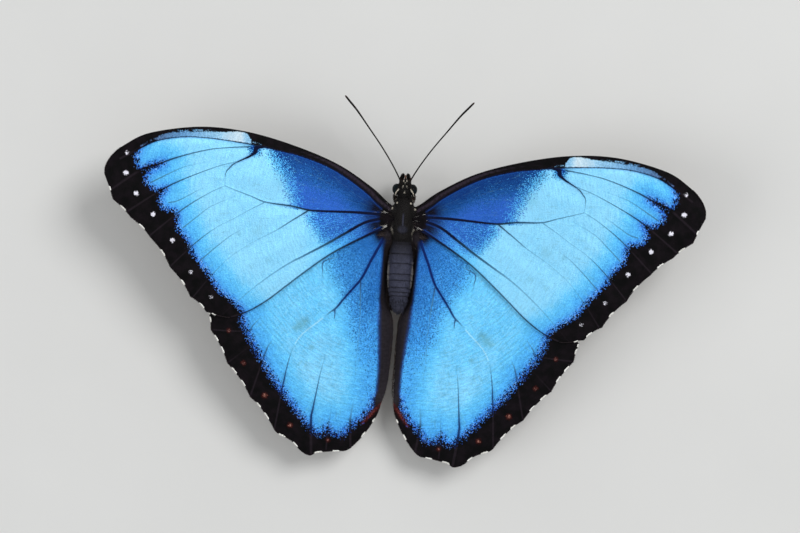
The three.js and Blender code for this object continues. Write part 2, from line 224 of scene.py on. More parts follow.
def wing_edge(smooth, teeth, inside):
    """A smooth stretch and then bays from tooth to tooth, each with its depth."""
    parts = [curve(smooth, EDGE_POINTS)]
    last = np.array(smooth[-1], float)
    for out, fore, depth in teeth:
        tooth = np.array([out, fore])
        middle = (last + tooth) / 2
        bend = middle + 2 * depth * unit(np.array(inside) - middle)
        t = np.linspace(0, 1, EDGE_POINTS + 1)[1:, None]
        parts.append((1 - t) ** 2 * last + 2 * t * (1 - t) * bend + t ** 2 * tooth)
        last = tooth
    return np.concatenate(parts)


FOREWING_FRONT = wing_edge(
    [(1.8, 5.2), (3.6, 6.3), (7.4, 9.3), (15, 13.6), (25, 16.9), (35, 18.9), (45, 19.1), (55, 17),
     (60, 14.2), (62.6, 11.8), (63.9, 9.4), (64, 7.6)], [], (30, 0))
FOREWING_HIND = wing_edge(
    [(1.8, 0.9), (4, 0.4), (10, -2.9), (15, -6), (20, -10.1), (27.6, -16.8), (31.5, -19.4),
     (35, -20.9), (38.6, -20.6)],
    [(40.4, -20.1, 0.15), (44, -17.1, 0.36), (48.7, -11.2, 0.42), (53.3, -5.2, 0.42),
     (57.8, -1.2, 0.36), (61.8, 2.3, 0.3), (64, 7.6, 0.1)], (30, 0))
HINDWING_FRONT = wing_edge(
    [(1.6, 1), (4, 1.6), (8, 0.9), (14, -1.5), (20, -4.6), (26, -8.4), (32, -12.9), (37, -17.1),
     (39.7, -20.4)],
    [(38.9, -24.4, 0.1), (34.8, -31.2, 0.35), (29.4, -38, 0.4)], (15, -25))
HINDWING_HIND = wing_edge(
    [(1.6, -1.4), (1.4, -4), (0.6, -8), (0.3, -13), (-0.2, -18), (-0.6, -23), (-0.5, -28),
     (0.1, -33), (1.1, -36.6), (1.8, -39.2)],
    [(6.7, -46.9, -0.5), (8.3, -48, -0.15), (14.4, -48.9, 0.1), (15.4, -49.55, -0.05),
     (16.8, -49.2, -0.1), (18.2, -48.2, -0.1), (19.4, -47, 0.05), (21.9, -45.8, 0.12),
     (23.6, -44.7, -0.15), (25.7, -41.7, 0.1), (29.4, -38, 0.25)], (15, -25))

EDGE_STEP = 0.3            # spacing of the sheet's points along its edge and its veins


def margin(front, hind):
    """Along the end of the front line and back along the end of the hind line."""
    return np.concatenate([front, hind[::-1]])


# the outer margins from which the markings are measured, and the stretches that carry a fringe
FOREWING_MARGIN = margin(FOREWING_FRONT[5 * EDGE_POINTS:], FOREWING_HIND[8 * EDGE_POINTS + 4:])
HINDWING_MARGIN = margin(HINDWING_FRONT[8 * EDGE_POINTS:], HINDWING_HIND[9 * EDGE_POINTS + 2:])
HINDWING_INNER_MARGIN = HINDWING_HIND[:9 * EDGE_POINTS + 1]
FOREWING_FRINGE = margin(even(FOREWING_FRONT, EDGE_STEP)[-24:-1], even(FOREWING_HIND, EDGE_STEP)[135:])
HINDWING_FRINGE = margin(HINDWING_FRONT[8 * EDGE_POINTS:-1], HINDWING_HIND[100:])

# ---------------------------------------------------------------- wing markings
# Veins: a line, and at even steps from root to margin how dark it shows and its half width.

FOREWING_VEINS = [
    ([(3, 3.9), (5.7, 5.8), (8, 7.8), (12, 10.4), (16, 12.5), (20, 13.9), (24, 14.9), (28, 15.5),
      (32, 16.1), (36, 16.5), (40, 16.8), (44, 16.9), (48, 16.7), (52, 15.9), (55, 14.7), (61, 11)],
     (1, 1, 1, 1, 1, 1, 0.75, 0.7, 0.85, 1, 1), (0.22, 0.2, 0.18, 0.16, 0.15, 0.14, 0.1, 0.1, 0.13, 0.18)),
    ([(33.8, 15.7), (38, 15.2), (42, 14.5), (46, 13.3), (50, 11.8), (53, 10.4), (56.5, 8.9),
      (62.5, 4.2)], (0.8, 0.55, 0.6, 0.8, 1, 1, 1), (0.09, 0.07, 0.09, 0.15, 0.2, 0.18)),
    ([(36.4, 12.3), (40, 11.1), (44, 9.3), (48, 7.3), (52, 4.9), (58.5, 0)],
     (0.4, 0.4, 0.6, 0.95, 1, 1), (0.07, 0.07, 0.11, 0.17)),
    ([(30.8, 16), (32.4, 15.6), (32.6, 14.6), (33.8, 13.6), (35.6, 12.6), (36.9, 11.8), (37.8, 10.8),
      (38.5, 9.6), (38.4, 7)], (1, 1, 1, 1, 0.95, 0.85, 0.65, 0.3, 0.25),
     (0.3, 0.42, 0.22, 0.12, 0.09, 0.08, 0.06, 0.05)),
    ([(2.6, 3.2), (5, 3.5), (10, 3.55), (15, 3.35), (20, 3.2), (24, 3.8), (29.5, 4.2), (33, 5.3),
      (36, 6.2), (38.4, 7)], (1, 1, 1, 1, 0.9, 0.7, 0.45, 0.35), (0.3, 0.26, 0.19, 0.15, 0.09, 0.07)),
    ([(38.4, 7), (41, 5.6), (44, 3.6), (46, 2.1), (48, 0.4), (53.5, -4.8)],
     (0.3, 0.4, 0.7, 1, 1), (0.06, 0.07, 0.1, 0.14)),
    ([(29.8, 4.1), (33, 2.2), (36, 0.2), (39, -1.6), (41.8, -3.8), (44.5, -6.4), (48.7, -11)],
     (0.4, 0.3, 0.25, 0.3, 0.7, 1, 1), (0.07, 0.06, 0.07, 0.1)),
    ([(20.4, 3.1), (24, 0.5), (27, -1.7), (31, -4.1), (34.5, -6.6), (36.8, -8.6), (38.5, -10.6),
      (40.3, -12.8), (43.5, -17.3)], (0.9, 0.6, 0.3, 0.25, 0.2, 0.25, 0.6, 1), (0.12, 0.07, 0.07, 0.1)),
    ([(2.6, 2.4), (4, 2.7), (8, 1.6), (12, -1), (16, -3.7), (20, -6.2), (24, -8.7), (28, -11.8),
      (31.8, -15.2), (37, -20.5)], (1, 1, 1, 0.85, 0.6, 0.4, 0.35, 0.3, 0.3, 0.3),
     (0.3, 0.26, 0.19, 0.14, 0.1, 0.08)),
    ([(3, 1), (5, 0.2), (10, -2.7), (15, -5.9), (20, -9.9), (24, -13.4), (27.6, -16.6), (31.5, -19.3),
      (35, -20.8)], (1, 1, 0.95, 0.8, 0.7, 0.65, 0.75, 0.9, 1), (0.26, 0.24, 0.2, 0.13, 0.12, 0.13)),
]
FOREWING_FOLDS = [
    ([(41, 12.3), (45, 11.1), (48, 10), (51.7, 7.9), (54.2, 6.4)], (0.1, 0.35, 0.6, 0.8), (0.07, 0.1)),
    ([(41, 7.3), (44, 5.6), (48, 3.1), (50, 2.5)], (0.1, 0.35, 0.55, 0.7), (0.06, 0.1)),
    ([(36, 5), (41, 2.4), (44, -0.2), (46.7, -2.7)], (0.15, 0.4, 0.55, 0.7), (0.06, 0.1)),
    ([(32, -0.6), (36, -3.2), (38, -4.9), (39.9, -6.7), (42.5, -9.3)], (0.1, 0.4, 0.6, 0.7), (0.07, 0.1)),
]
FOREWING_BLUE_EDGE = [
    (57.2, 12.9), (57.7, 11.3), (57.2, 10), (56.4, 9.2), (55.2, 9.8), (53.6, 10.4), (51.8, 10.9),
    (53.4, 9.7), (54.6, 8.6), (55.2, 7.2), (54.8, 6), (53.7, 5.4), (52.4, 5.1), (50.9, 5.4),
    (51.6, 4.3), (52, 3.2), (51.7, 2.2), (50.8, 1.1),
    (49, 0.9), (48.1, 0.1), (47.9, -1.5), (47.4, -3.2), (46.1, -4.6), (44.8, -6.5), (43.9, -8.2),
    (42.4, -10), (40.3, -12.4), (38.6, -14.6), (37.4, -15.8), (34.8, -17.6), (33.4, -18.7),
    (32.4, -19.9)]
FOREWING_BLUE_REST = [     # round the blue's other sides, which other rules limit
    (32.5, -24), (27, -20.5), (15, -10), (8, -4.5), (3.6, -1.5), (3.9, 1.6), (4.6, 4.2), (4, 10),
    (20, 24), (57.2, 24)]
FOREWING_CELL = [(0, 0), (0, 14), (14, 20), (29, 21), (27.8, 14.6), (25, 10.5), (23.2, 7), (21.5, 0)]
FOREWING_BELOW_CELL = [(2, 8), (18, 8), (19.6, 1.4), (16.6, -2.2), (14.6, -2.8), (8, 1.5), (2, 3)]
FOREWING_SPOTS = [
    (59.6, 12.4, 0.38), (59.5, 8.1, 0.52), (57, 3.9, 0.48), (53.1, -0.2, 0.46),
    (48.65, -5.45, 0.46), (44.3, -11.9, 0.36), (39.65, -16.8, 0.34)]
FOREWING_DASHES = [
    (62.8, 4.5, 0.55), (59.5, 0.7, 0.8), (55.3, -3, 0.85), (50.7, -8.4, 0.85), (46.1, -14.4, 0.8),
    (41.7, -19.1, 0.85), (38.8, -20.5, 0.45)]
FOREWING_PATCH_TOP = [
    (54.1, 15.9), (52, 17), (49.5, 17.5), (46, 17.95), (42.4, 18.15), (39, 18.5), (37, 18.7),
    (35.8, 18.7), (34.7, 18.4), (34, 17.7), (33.5, 17)]
FOREWING_PATCH_STREAKS = [
    ([(40.8, 18.68), (44.1, 18.55), (47.5, 18.15), (50.3, 17.6)], 0.1),
    ([(54.1, 15.75), (55.4, 15), (56.8, 14)], 0.16),
    ([(34.4, 17), (33, 16.7), (31.2, 16.4)], 0.1)]
FOREWING_OCELLI = [(52.6, 7.2, 1.9), (48.9, 3.4, 2.1), (38.6, -5.8, 3.3)]
FOREWING_BARS = [[(14, 4.6), (14.8, 8), (16.6, 11.2)], [(21, 4.4), (21.6, 8.6), (23.4, 13)],
                 [(29.6, 5), (30.4, 10), (32, 14.2)]]
FOREWING_SASH = [(48.8, 17.4), (46.6, 12), (45.6, 6.6), (42.4, 0.2), (38.4, -1.2), (32.8, -8),
                 (28.6, -15.6)]

HINDWING_VEINS = [
    ([(2.4, -0.4), (3.9, -1.6), (5, -3.9), (6.2, -6.5), (7.2, -9), (8.1, -10.9), (9.8, -13.2),
      (11.4, -15.4), (12.8, -17.4), (14.2, -18.6), (16.4, -20.7), (18.3, -22.4), (20, -24.3),
      (21.3, -27), (22.1, -30.8), (22.5, -33.8), (22.8, -36), (23.7, -45.2)],
     (1, 1, 1, 1, 1, 0.9, 0, 0, 0, 0.5, 0.9, 1, 1, 1),
     (0.28, 0.26, 0.22, 0.16, 0.1, 0.08, 0.09, 0.13, 0.15)),
    ([(13, -17.6), (12.9, -18.7), (12.9, -19.6)], (0.9, 0.8, 0.5), (0.08, 0.06)),
    ([(8.1, -10.9), (7.9, -13.1), (7.6, -16.9), (7.4, -20.3), (7.4, -24), (7.5, -28.5), (7.2, -33),
      (7.3, -37.5), (7.6, -41.5), (7, -47.2)],
     (0.9, 0.55, 0.35, 0.28, 0.28, 0.2, 0.08, 0.08, 0.4, 1, 1), (0.14, 0.1, 0.09, 0.09, 0.08, 0.2, 0.2)),
    ([(13.9, -26.5), (14.8, -31.2), (15.4, -35.9), (15.8, -39.3), (16, -42), (15.3, -49.6)],
     (0.15, 0.35, 0.6, 0.9, 1, 1), (0.06, 0.08, 0.13, 0.24, 0.24)),
    ([(11.8, -38), (12, -41), (12.2, -43), (12.2, -48)], (0.1, 0.3, 0.9, 1), (0.07, 0.12)),
    ([(12.8, -6.3), (15.7, -7.3), (16.5, -8.2), (16.3, -10), (16.1, -12), (16.2, -13.4), (18.6, -15),
      (23.6, -18), (26.2, -21.4), (28.2, -24.9), (34.8, -31.2)],
     (0.1, 0.85, 0.2, 0.1, 0.08, 0.07, 0.07, 0.07, 0.1, 0.25, 1), (0.06, 0.1, 0.07, 0.06, 0.06, 0.08, 0.1)),
    ([(22, -19.5), (24.6, -23.2), (26, -26), (26.8, -27.7), (29.4, -38)],
     (0.07, 0.07, 0.15, 0.7, 1, 1, 1), (0.06, 0.11, 0.14)),
    ([(16.5, -8.2), (22, -12.6), (27.3, -19), (30.2, -22.8), (31.2, -24), (38.9, -24.4)],
     (0.07, 0.07, 0.07, 0.07, 0.07, 0.07, 0.5, 1, 1, 1), (0.06, 0.06, 0.14)),
]
HINDWING_BLUE_EDGE = [
    (33.2, -18.5), (32.5, -21), (32, -22.8), (30.9, -24.8), (29.6, -26.8), (28.2, -28.8),
    (27, -30.8), (25.4, -33), (23.3, -35.4), (21.7, -37.3), (20, -39.4), (18.2, -41.4),
    (16.4, -43.1), (15.2, -44.2), (13.8, -44.6), (12.7, -43.9), (12.3, -43.2), (11.6, -44.1),
    (10, -44.7), (8.6, -43.9), (7.2, -42.3), (5.5, -41), (4.3, -39.4), (3.3, -37.6), (2.6, -35.4)]
HINDWING_BLUE_REST = [(-9, -35), (-9, 6), (20, -1), (33.5, -10)]
HINDWING_BASE = [(-4, 6), (9, 2), (16, -5), (14.8, -10), (12.2, -14), (10.4, -19), (9, -26), (7, -34),
                 (5.2, -39), (-4, -39)]
HINDWING_INNER_EDGE = [
    (2.9, -33), (3, -29), (3.3, -25), (3.6, -21), (3.9, -17), (4.1, -12), (4.1, -8), (4.0, -5),
    (4.0, -2.2)]
HINDWING_SPOTS = [
    (35.1, -24.2, 0.22), (31.4, -30.9, 0.28), (26.3, -37.5, 0.38), (20.4, -43.4, 0.32),
    (12, -46, 0.16)]
HINDWING_DASHES = [
    (39.5, -20.8, 0.35), (39.3, -22.2, 0.6), (37.8, -26.2, 0.8), (36, -28.4, 0.85),
    (33.4, -32.8, 0.85), (31.1, -35.1, 0.85), (27.7, -39.9, 0.8), (25.6, -41.9, 0.85),
    (21.9, -45.8, 0.8), (18.9, -47.4, 0.7), (13.8, -48.9, 0.85), (10.1, -48.2, 0.75),
    (4.5, -44.1, 0.7), (2.4, -40.9, 0.5), (0.8, -36.9, 0.4)]
HINDWING_RED_STREAK = [(0.9, -36.9), (1.7, -37.7), (3.1, -39.4), (4.9, -41.7)]
HINDWING_OCELLI = [(28.4, -18.2, 3.7), (23.6, -30.6, 2.0), (18.6, -34.8, 3.0), (11.5, -37.2, 2.6)]
HINDWING_BARS = [[(9.4, -4.4), (8.8, -8)], [(14, -3.6), (13, -9), (11, -15)]]
HINDWING_SASH = [(33.6, -14.8), (25.6, -22), (20.4, -28.6), (14.6, -31), (8.6, -32.4), (4.2, -34.6)]
ABSENT = -9.0              # the depth of a marking that a wing doesn't have


def from_place(points, out, fore):
    return np.hypot(points[:, 0] - out, points[:, 1] - fore)


def nearest_dot(points, dots):
    """Depth inside the nearest of some round spots, (out, fore, radius)."""
    return np.max([radius - from_place(points, out, fore) for out, fore, radius in dots], axis=0)


def nearest_ring(points, ocelli):
    """0 at the middle of the nearest eye-spot and 1 at its outer edge."""
    return np.min([from_place(points, out, fore) / radius for out, fore, radius in ocelli], axis=0)


def smudges(points, *marks):
    """Soft dull marks, (out, fore, radius)."""
    return np.max([np.exp(-(from_place(points, out, fore) / radius) ** 2)
                   for out, fore, radius in marks], axis=0)


def vein_fields(points, veins):
    """Depth into the nearest vein, how dark it is there, and the height of its ridge."""
    depth = np.full(len(points), ABSENT)
    dark = np.zeros(len(points))
    ridge = np.zeros(len(points))
    for line, darks, halves in veins:
        gap, share = distance(points, curve(line, 6))
        half = keyed(share, halves)
        inside = half - gap
        dark = np.where(inside > depth, keyed(share, darks), dark)
        depth = np.maximum(depth, inside)
        ridge = np.maximum(ridge, (0.03 + 0.22 * half) * np.exp(-(gap / (0.1 + half)) ** 2))
    return depth, dark, ridge


def bands(points, bars, bar_half, sash, sash_half):
    """Depth inside the underside's cream bands: short bars, and a sash across the wing."""
    depths = [bar_half - distance(points, curve(bar))[0] for bar in bars]
    depths.append(sash_half - distance(points, curve(sash))[0])
    return np.max(depths, axis=0)


def dashes(points, rim, marks):
    """Depth inside the white dashes along the margin."""
    return np.minimum(0.16 - rim, nearest_dot(points, marks))


def out_at(line, fore):
    """How far out a line that runs towards the tail lies, at given places fore."""
    return np.interp(-fore, -line[:, 1], line[:, 0])


def forewing_deep(p):
    """Share of the deep blue, in the cell near the root and below it."""
    out, fore = p.T
    cell = ease(depth_in(p, FOREWING_CELL), -4.9, 2.4) * (fore > 3.4 - 0.1 * (out < 29.5))
    below = 0.82 * ease(depth_in(p, FOREWING_BELOW_CELL), -3.4, 1.6)
    behind = 0.8 * ease(from_place(p, 3, 0), 14, 4) * (fore < 2.6)
    deep = np.max([cell, below, behind], axis=0)
    return np.maximum(deep * mix(0.86, 1, ease(out, 17, 8)), 0.8 * smudges(p, (32.7, 15.2, 1.5)))


def forewing_light(p, from_edge, deep):
    """How pale the blue is: darker at its edge, near the root and where it is deep."""
    out, fore = p.T
    light = mix(0.52, 1.0, ease(from_edge, 0.4, 8.0))
    light = mix(light, np.minimum(light, 0.36), ease(out, mix(17, 24, fore < -1), 5))
    return mix(light, np.minimum(light, 0.5), ease(deep, 0.05, 0.8))


def forewing_patch(p, radius_line):
    """Depth inside the pale patch at the front margin and its streaks."""
    under_patch = radius_line[(radius_line[:, 0] > 33.2) & (radius_line[:, 0] < 53.6)]
    patch = depth_in(p, np.concatenate([curve(FOREWING_PATCH_TOP, 4), under_patch]))
    for line, half in FOREWING_PATCH_STREAKS:
        patch = np.maximum(patch, half - distance(p, curve(line))[0])
    return patch


def forewing_fields(p):
    out, fore = p.T
    depth, dark, ridge = vein_fields(p, FOREWING_VEINS)
    fold_depth, fold_dark, _ = vein_fields(p, FOREWING_FOLDS)
    radius_line = curve(FOREWING_VEINS[0][0])
    under_front = np.interp(out, *radius_line.T) - fore
    from_root = from_place(p, 1, 3)
    blue_edge = curve(FOREWING_BLUE_EDGE, 4)
    blue = depth_in(p, np.concatenate([blue_edge, FOREWING_BLUE_REST]))
    deep = forewing_deep(p)
    streak_gap, streak_share = distance(p, radius_line[radius_line[:, 0] < 29] + (0, 0.85))
    rim, _ = distance(p, FOREWING_MARGIN)
    return {
        "blue": np.min([blue, 5 * under_front, 2.5 * (from_root - 4.2)], axis=0),
        "light": forewing_light(p, distance(p, blue_edge)[0], deep),
        "deep": deep,
        "deep_tone": mix(ease(under_front, 0.6, 8), 0.85, fore < 3.4),
        "root": ease(from_root, 9.4, 4.8),
        "vein": np.maximum(depth, fold_depth),
        "vein_dark": np.where(fold_depth > depth, fold_dark * 0.7, dark),
        "ridge": ridge,
        "spot": nearest_dot(p, FOREWING_SPOTS),
        "red": ABSENT,
        "dim": 0.6 * ease(out, 47, 42),
        "warm": 0.0,
        "patch": forewing_patch(p, radius_line),
        "white": np.interp(out, (31, 34.5, 36, 38.5, 41, 47, 52, 57),
                           (0.35, 0.6, 1, 0.85, 0.64, 0.36, 0.12, 0)),
        "smudge": 0.3 * smudges(p, (31.5, -9.6, 0.6), (28, -8, 0.7), (29.3, -14.4, 0.5), (33, -13.4, 0.5),
                                (34.7, -3, 0.8), (31, -2, 1.6), (27, 9, 1.6)),
        "streak": 0.32 - streak_gap - 0.36 * ease(streak_share, 0.4, 1),
        "rim": rim,
        "dash": dashes(p, rim, FOREWING_DASHES),
        "ring": nearest_ring(p, FOREWING_OCELLI),
        "band": bands(p, FOREWING_BARS, 0.42, FOREWING_SASH, 0.6),
        "fold": 0.0,
    }


def hindwing_light(p, from_edge, depth_in_base, inside, root):
    """How pale the blue is: duller over the base, along the fold and at the root."""
    fore = p[:, 1]
    light = mix(0.47, 0.77, ease(from_edge, 0.4, 7.5)) + 0.12 * smudges(p, (17.5, -32, 7))
    base = mix(0.47, 0.37, ease(depth_in_base, 0.5, 5)) + 0.1 * ease(-fore, 20, 32)
    light = mix(light, np.minimum(light, base), ease(depth_in_base, -3, 2.8))
    strip = mix(0.22, 0.46, ease(-fore, 6, 28))
    light = mix(light, np.minimum(light, strip), ease(inside, 3.8, 0.8) * ease(-fore, 42, 32))
    return mix(light, 0.2, root)


def hindwing_fields(p):
    out, fore = p.T
    depth, dark, ridge = vein_fields(p, HINDWING_VEINS)
    outer = curve(HINDWING_BLUE_EDGE, 4)
    inside = out - out_at(curve(HINDWING_INNER_EDGE, 4)[::-1], fore)
    blue = depth_in(p, np.concatenate([outer, HINDWING_BLUE_REST]))
    from_fold = 2.5 * inside + 1.3 * ease(-fore, 36.5, 34)
    from_root = from_place(p, 2, 1)
    depth_in_base = depth_in(p, HINDWING_BASE)
    root = ease(from_place(p, 3, -1), 11, 3)
    base_deep = mix(0.42, 0.15, ease(-fore, 12, 32)) * ease(depth_in_base, -3, 2.8)
    red_gap, red_share = distance(p, curve(HINDWING_RED_STREAK))
    red = 0.24 * np.sin(np.pi * np.clip(red_share, 0.1, 0.9)) - red_gap
    rim, _ = distance(p, HINDWING_MARGIN)
    return {
        "blue": np.min([blue, from_fold, 2.5 * (from_root - 3.4)], axis=0),
        "light": hindwing_light(p, distance(p, outer)[0], depth_in_base, inside, root),
        "deep": np.maximum(base_deep, 0.5 * root),
        "deep_tone": 0.45,
        "root": ease(from_root, 5.8, 3.6),
        "vein": depth,
        "vein_dark": dark,
        "ridge": ridge,
        "spot": np.maximum(nearest_dot(p, HINDWING_SPOTS), red),
        "red": red,
        "dim": smudges(p, (12.2, -46, 1.5), (35.1, -23.8, 1.5), (31.4, -30.8, 1), (3.6, -38.6, 2),
                       (5, -41, 2)),
        "warm": 1.0,
        "patch": ABSENT,
        "white": 0.0,
        "smudge": 0.75 * smudges(p, (19.1, -20.9, 1), (20, -21.7, 1.2), (20.9, -22.4, 0.8),
                                 (17.2, -26.2, 0.5)),
        "streak": ABSENT,
        "rim": rim,
        "dash": dashes(p, rim, HINDWING_DASHES),
        "ring": nearest_ring(p, HINDWING_OCELLI),
        "band": bands(p, HINDWING_BARS, 0.35, HINDWING_SASH, 0.5),
        "fold": ease(inside, 0.1, -0.5) * ease(-fore, 38.5, 36.5),
    }


# ---------------------------------------------------------------- meshes


def new_mesh(name, points, triangles):
    """A mesh of triangles, from points in metres."""
    mesh = bpy.data.meshes.new(name)
    mesh.vertices.add(len(points))
    mesh.vertices.foreach_set("co", np.asarray(points, np.float32).ravel())
    mesh.loops.add(3 * len(triangles))
    mesh.loops.foreach_set("vertex_index", np.asarray(triangles, np.int32).ravel())
    mesh.polygons.add(len(triangles))
    mesh.polygons.foreach_set("loop_start", np.arange(0, 3 * len(triangles), 3, dtype=np.int32))
    mesh.update(calc_edges=True)
    mesh.validate()
    mesh.shade_smooth()
    return mesh


def linked(name, data):
    obj = bpy.data.objects.new(name, data)
    bpy.context.scene.collection.objects.link(obj)
    return obj


def new_object(name, mesh, material):
    mesh.materials.clear()
    mesh.materials.append(material)
    return linked(name, mesh)


def store(mesh, fields):
    """Numbers, or rows of three numbers, kept on the mesh's points for its material."""
    for name, values in fields.items():
        values = np.asarray(values, np.float32)
        kind, key = ("FLOAT", "value") if values.ndim == 1 else ("FLOAT_VECTOR", "vector")
        mesh.attributes.new(name, kind, "POINT").data.foreach_set(key, values.ravel())


def read(items, key, width, kind=np.float32):
    """A property of all of a mesh's items, in rows of width numbers."""
    values = np.zeros(width * len(items), kind)
    items.foreach_get(key, values)
    return values.reshape(-1, width)


def corner_points(mesh):
    return read(mesh.loops, "vertex_index", 1, np.int32)[:, 0]


def bake_map(mesh, places):
    """The map OFBake, from a place for each corner."""
    mesh.uv_layers.new(name="OFBake").data.foreach_set("uv", np.asarray(places, np.float32).ravel())


def finish_piece(obj, nodes=()):
    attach(obj, "root")
    if nodes:
        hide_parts(*nodes)


# ---------------------------------------------------------------- material helpers


class Value:
    """The result of a node, with which one reckons as with a number."""

    def __init__(self, tree, socket):
        self.tree, self.socket = tree, socket

    def __add__(self, other):
        return self.tree.math("ADD", self, other)

    def __sub__(self, other):
        return self.tree.math("SUBTRACT", self, other)

    def __rsub__(self, other):
        return self.tree.math("SUBTRACT", other, self)

    def __mul__(self, other):
        """Times a number or a value, or a vector times three factors."""
        if isinstance(other, tuple):
            return self.tree.node("ShaderNodeVectorMath", {0: self, 1: other}, operation="MULTIPLY")
        return self.tree.math("MULTIPLY", self, other)

    def spread(self, amount):
        """Values from 0 to 1 laid evenly round 0 instead, amount wide."""
        return (self - 0.5) * amount

    def ease(self, low, high, to=(0.0, 1.0)):
        return self.tree.node(
            "ShaderNodeMapRange", {"Value": self, "From Min": low, "From Max": high, "To Min": to[0],
                                   "To Max": to[1]}, "Result", interpolation_type="SMOOTHSTEP")


def colour_of(colour):
    """A (red, green, blue) as a screen shows it, 0 to 255, in linear values; a value as it is."""
    if isinstance(colour, Value):
        return colour
    shares = [part / 255 for part in colour]
    return (*[s / 12.92 if s <= 0.04045 else ((s + 0.055) / 1.055) ** 2.4 for s in shares], 1)


class Tree:
    """Builds a material's nodes. t["name"] is the number of that name stored on the points."""

    def __init__(self, name, owner=None):
        self.owner = owner or bpy.data.materials.new(name)
        self.owner.use_nodes = True
        self.tree = self.owner.node_tree
        self.tree.nodes.clear()

    def new(self, kind, inputs, **settings):
        """A node with its settings, and its inputs set or linked by name or number."""
        node = self.tree.nodes.new(kind)
        for name, value in settings.items():
            setattr(node, name, value)
        for key, value in inputs.items():
            if isinstance(value, Value):
                self.tree.links.new(value.socket, node.inputs[key])
            else:
                node.inputs[key].default_value = value
        return node

    def node(self, kind, inputs, output=0, **settings):
        """One of a new node's results."""
        return Value(self, self.new(kind, inputs, **settings).outputs[output])

    def __getitem__(self, name):
        return self.node("ShaderNodeAttribute", {}, "Fac", attribute_name=name)

    def vector(self, name):
        return self.node("ShaderNodeAttribute", {}, "Vector", attribute_name=name)

    def math(self, operation, a, b):
        return self.node("ShaderNodeMath", {0: a, 1: b}, operation=operation)

    def mix(self, share, a, b, blend="MIX"):
        return self.node("ShaderNodeMix", {0: share, 6: colour_of(a), 7: colour_of(b)}, 2,
                         data_type="RGBA", blend_type=blend, clamp_factor=True)

    def ramp(self, value, stops):
        """stops are {place: colour}."""
        node = self.new("ShaderNodeValToRGB", {"Fac": value})
        elements = node.color_ramp.elements
        while len(elements) < len(stops):
            elements.new(0.5)
        for element, (place, colour) in zip(elements, stops.items()):
            element.position = place
            element.color = colour_of(colour)
        return Value(self, node.outputs["Color"])

    def noise(self, vector, scale, detail=2.0, roughness=0.5):
        return self.node("ShaderNodeTexNoise", {"Vector": vector, "Scale": scale, "Detail": detail,
                                                "Roughness": roughness}, "Fac")

    def cells(self, vector, scale):
        """Three random numbers for each cell, and the distance from the cell's middle."""
        node = self.new("ShaderNodeTexVoronoi", {"Vector": vector, "Scale": scale}, feature="F1")
        split = self.new("ShaderNodeSeparateColor", {0: Value(self, node.outputs["Color"])})
        return [Value(self, socket) for socket in (*split.outputs[:3], node.outputs["Distance"])]

    def bump(self, height, depth, normal=None):
        """depth is the height in millimetres that a value of 1 stands for."""
        under = {"Normal": normal} if normal else {}
        return self.node("ShaderNodeBump", {"Distance": depth * MM, "Height": height, **under})

    def shader(self, colour, roughness, normal, constants):
        """The material, with the shader's other inputs by their names."""
        surface = self.node("ShaderNodeBsdfPrincipled", {
            "Base Color": colour, "Roughness": roughness, "Normal": normal, **constants})
        self.new("ShaderNodeOutputMaterial", {"Surface": surface})
        return self.owner


SPECULAR = "Specular IOR Level"

# ---------------------------------------------------------------- wing material

BLACK_SCALES = (2, 2, 3)
BROWN_BLACK = (15, 10, 15)
UPPER_BLUES = {
    0.0: (22, 76, 146), 0.2: (38, 112, 194), 0.45: (70, 164, 238), 0.7: (98, 196, 248),
    1.0: (142, 214, 250)}
DEEP_BLUES = {0.0: (14, 52, 118), 0.5: (24, 82, 148), 1.0: (46, 98, 196)}
PATCH_WHITES = {
    0.0: (66, 80, 122), 0.35: (104, 160, 210), 0.7: (156, 208, 240), 1.0: (208, 230, 242)}
BROWNS = {0.3: (58, 41, 33), 0.5: (84, 62, 47), 0.72: (122, 98, 74)}
MARGIN_LINES = (                # the underside's, from one distance to another and on outward
    (4.1, 3.6, (176, 156, 124)), (3.3, 3.0, (122, 66, 38)), (2.2, 2.0, (44, 30, 26)),
    (1.5, 1.3, (170, 150, 120)), (1.0, 0.8, (40, 28, 26)))
EYE_SPOT = {
    0.0: (236, 238, 240), 0.11: (226, 230, 236), 0.15: (18, 14, 18), 0.27: (30, 60, 92),
    0.33: (14, 10, 12), 0.58: (16, 11, 11), 0.62: (206, 168, 88), 0.76: (214, 176, 96),
    0.8: (40, 22, 16), 0.92: (54, 34, 24), 1.0: (120, 98, 76)}


def blue_colour(t, place, jitter, strands):
    """Pale blue over the wing, deeper towards the edge and dark near the root, with painted glints on single
    scales near the edge.
    """
    _, second, third, _ = jitter
    near_edge = t["blue"].ease(1.9, -0.3)
    clouds = t.noise(place, 0.16, 3.0, 0.6) - 0.5
    grain = (second - 0.5) * (near_edge * 0.5 + 0.22)
    blue = t.ramp(clouds * 0.24 + grain + t["light"], UPPER_BLUES)
    dark = t.ramp(clouds * 0.7 + grain * 3.2 + t["deep_tone"], DEEP_BLUES)
    deep = t["deep"] * 1.6 + third.spread(1.2) + strands * 0.2
    blue = t.mix(deep.ease(0.7, 0.85), blue, dark)
    blue = t.mix(near_edge * (0.58 - t["deep"] * 0.5), blue, (42, 84, 218))
    # painted glints: pale highlights on single scales near the blue's edge
    painted_glint = second.ease(0.86, 0.94) * t["blue"].ease(1.1, 0.2)
    blue = t.mix(painted_glint * 0.5, blue, (150, 190, 252))
    return t.mix(t["blue"].ease(0.2, -1.2) * 0.5, blue, (20, 34, 110))


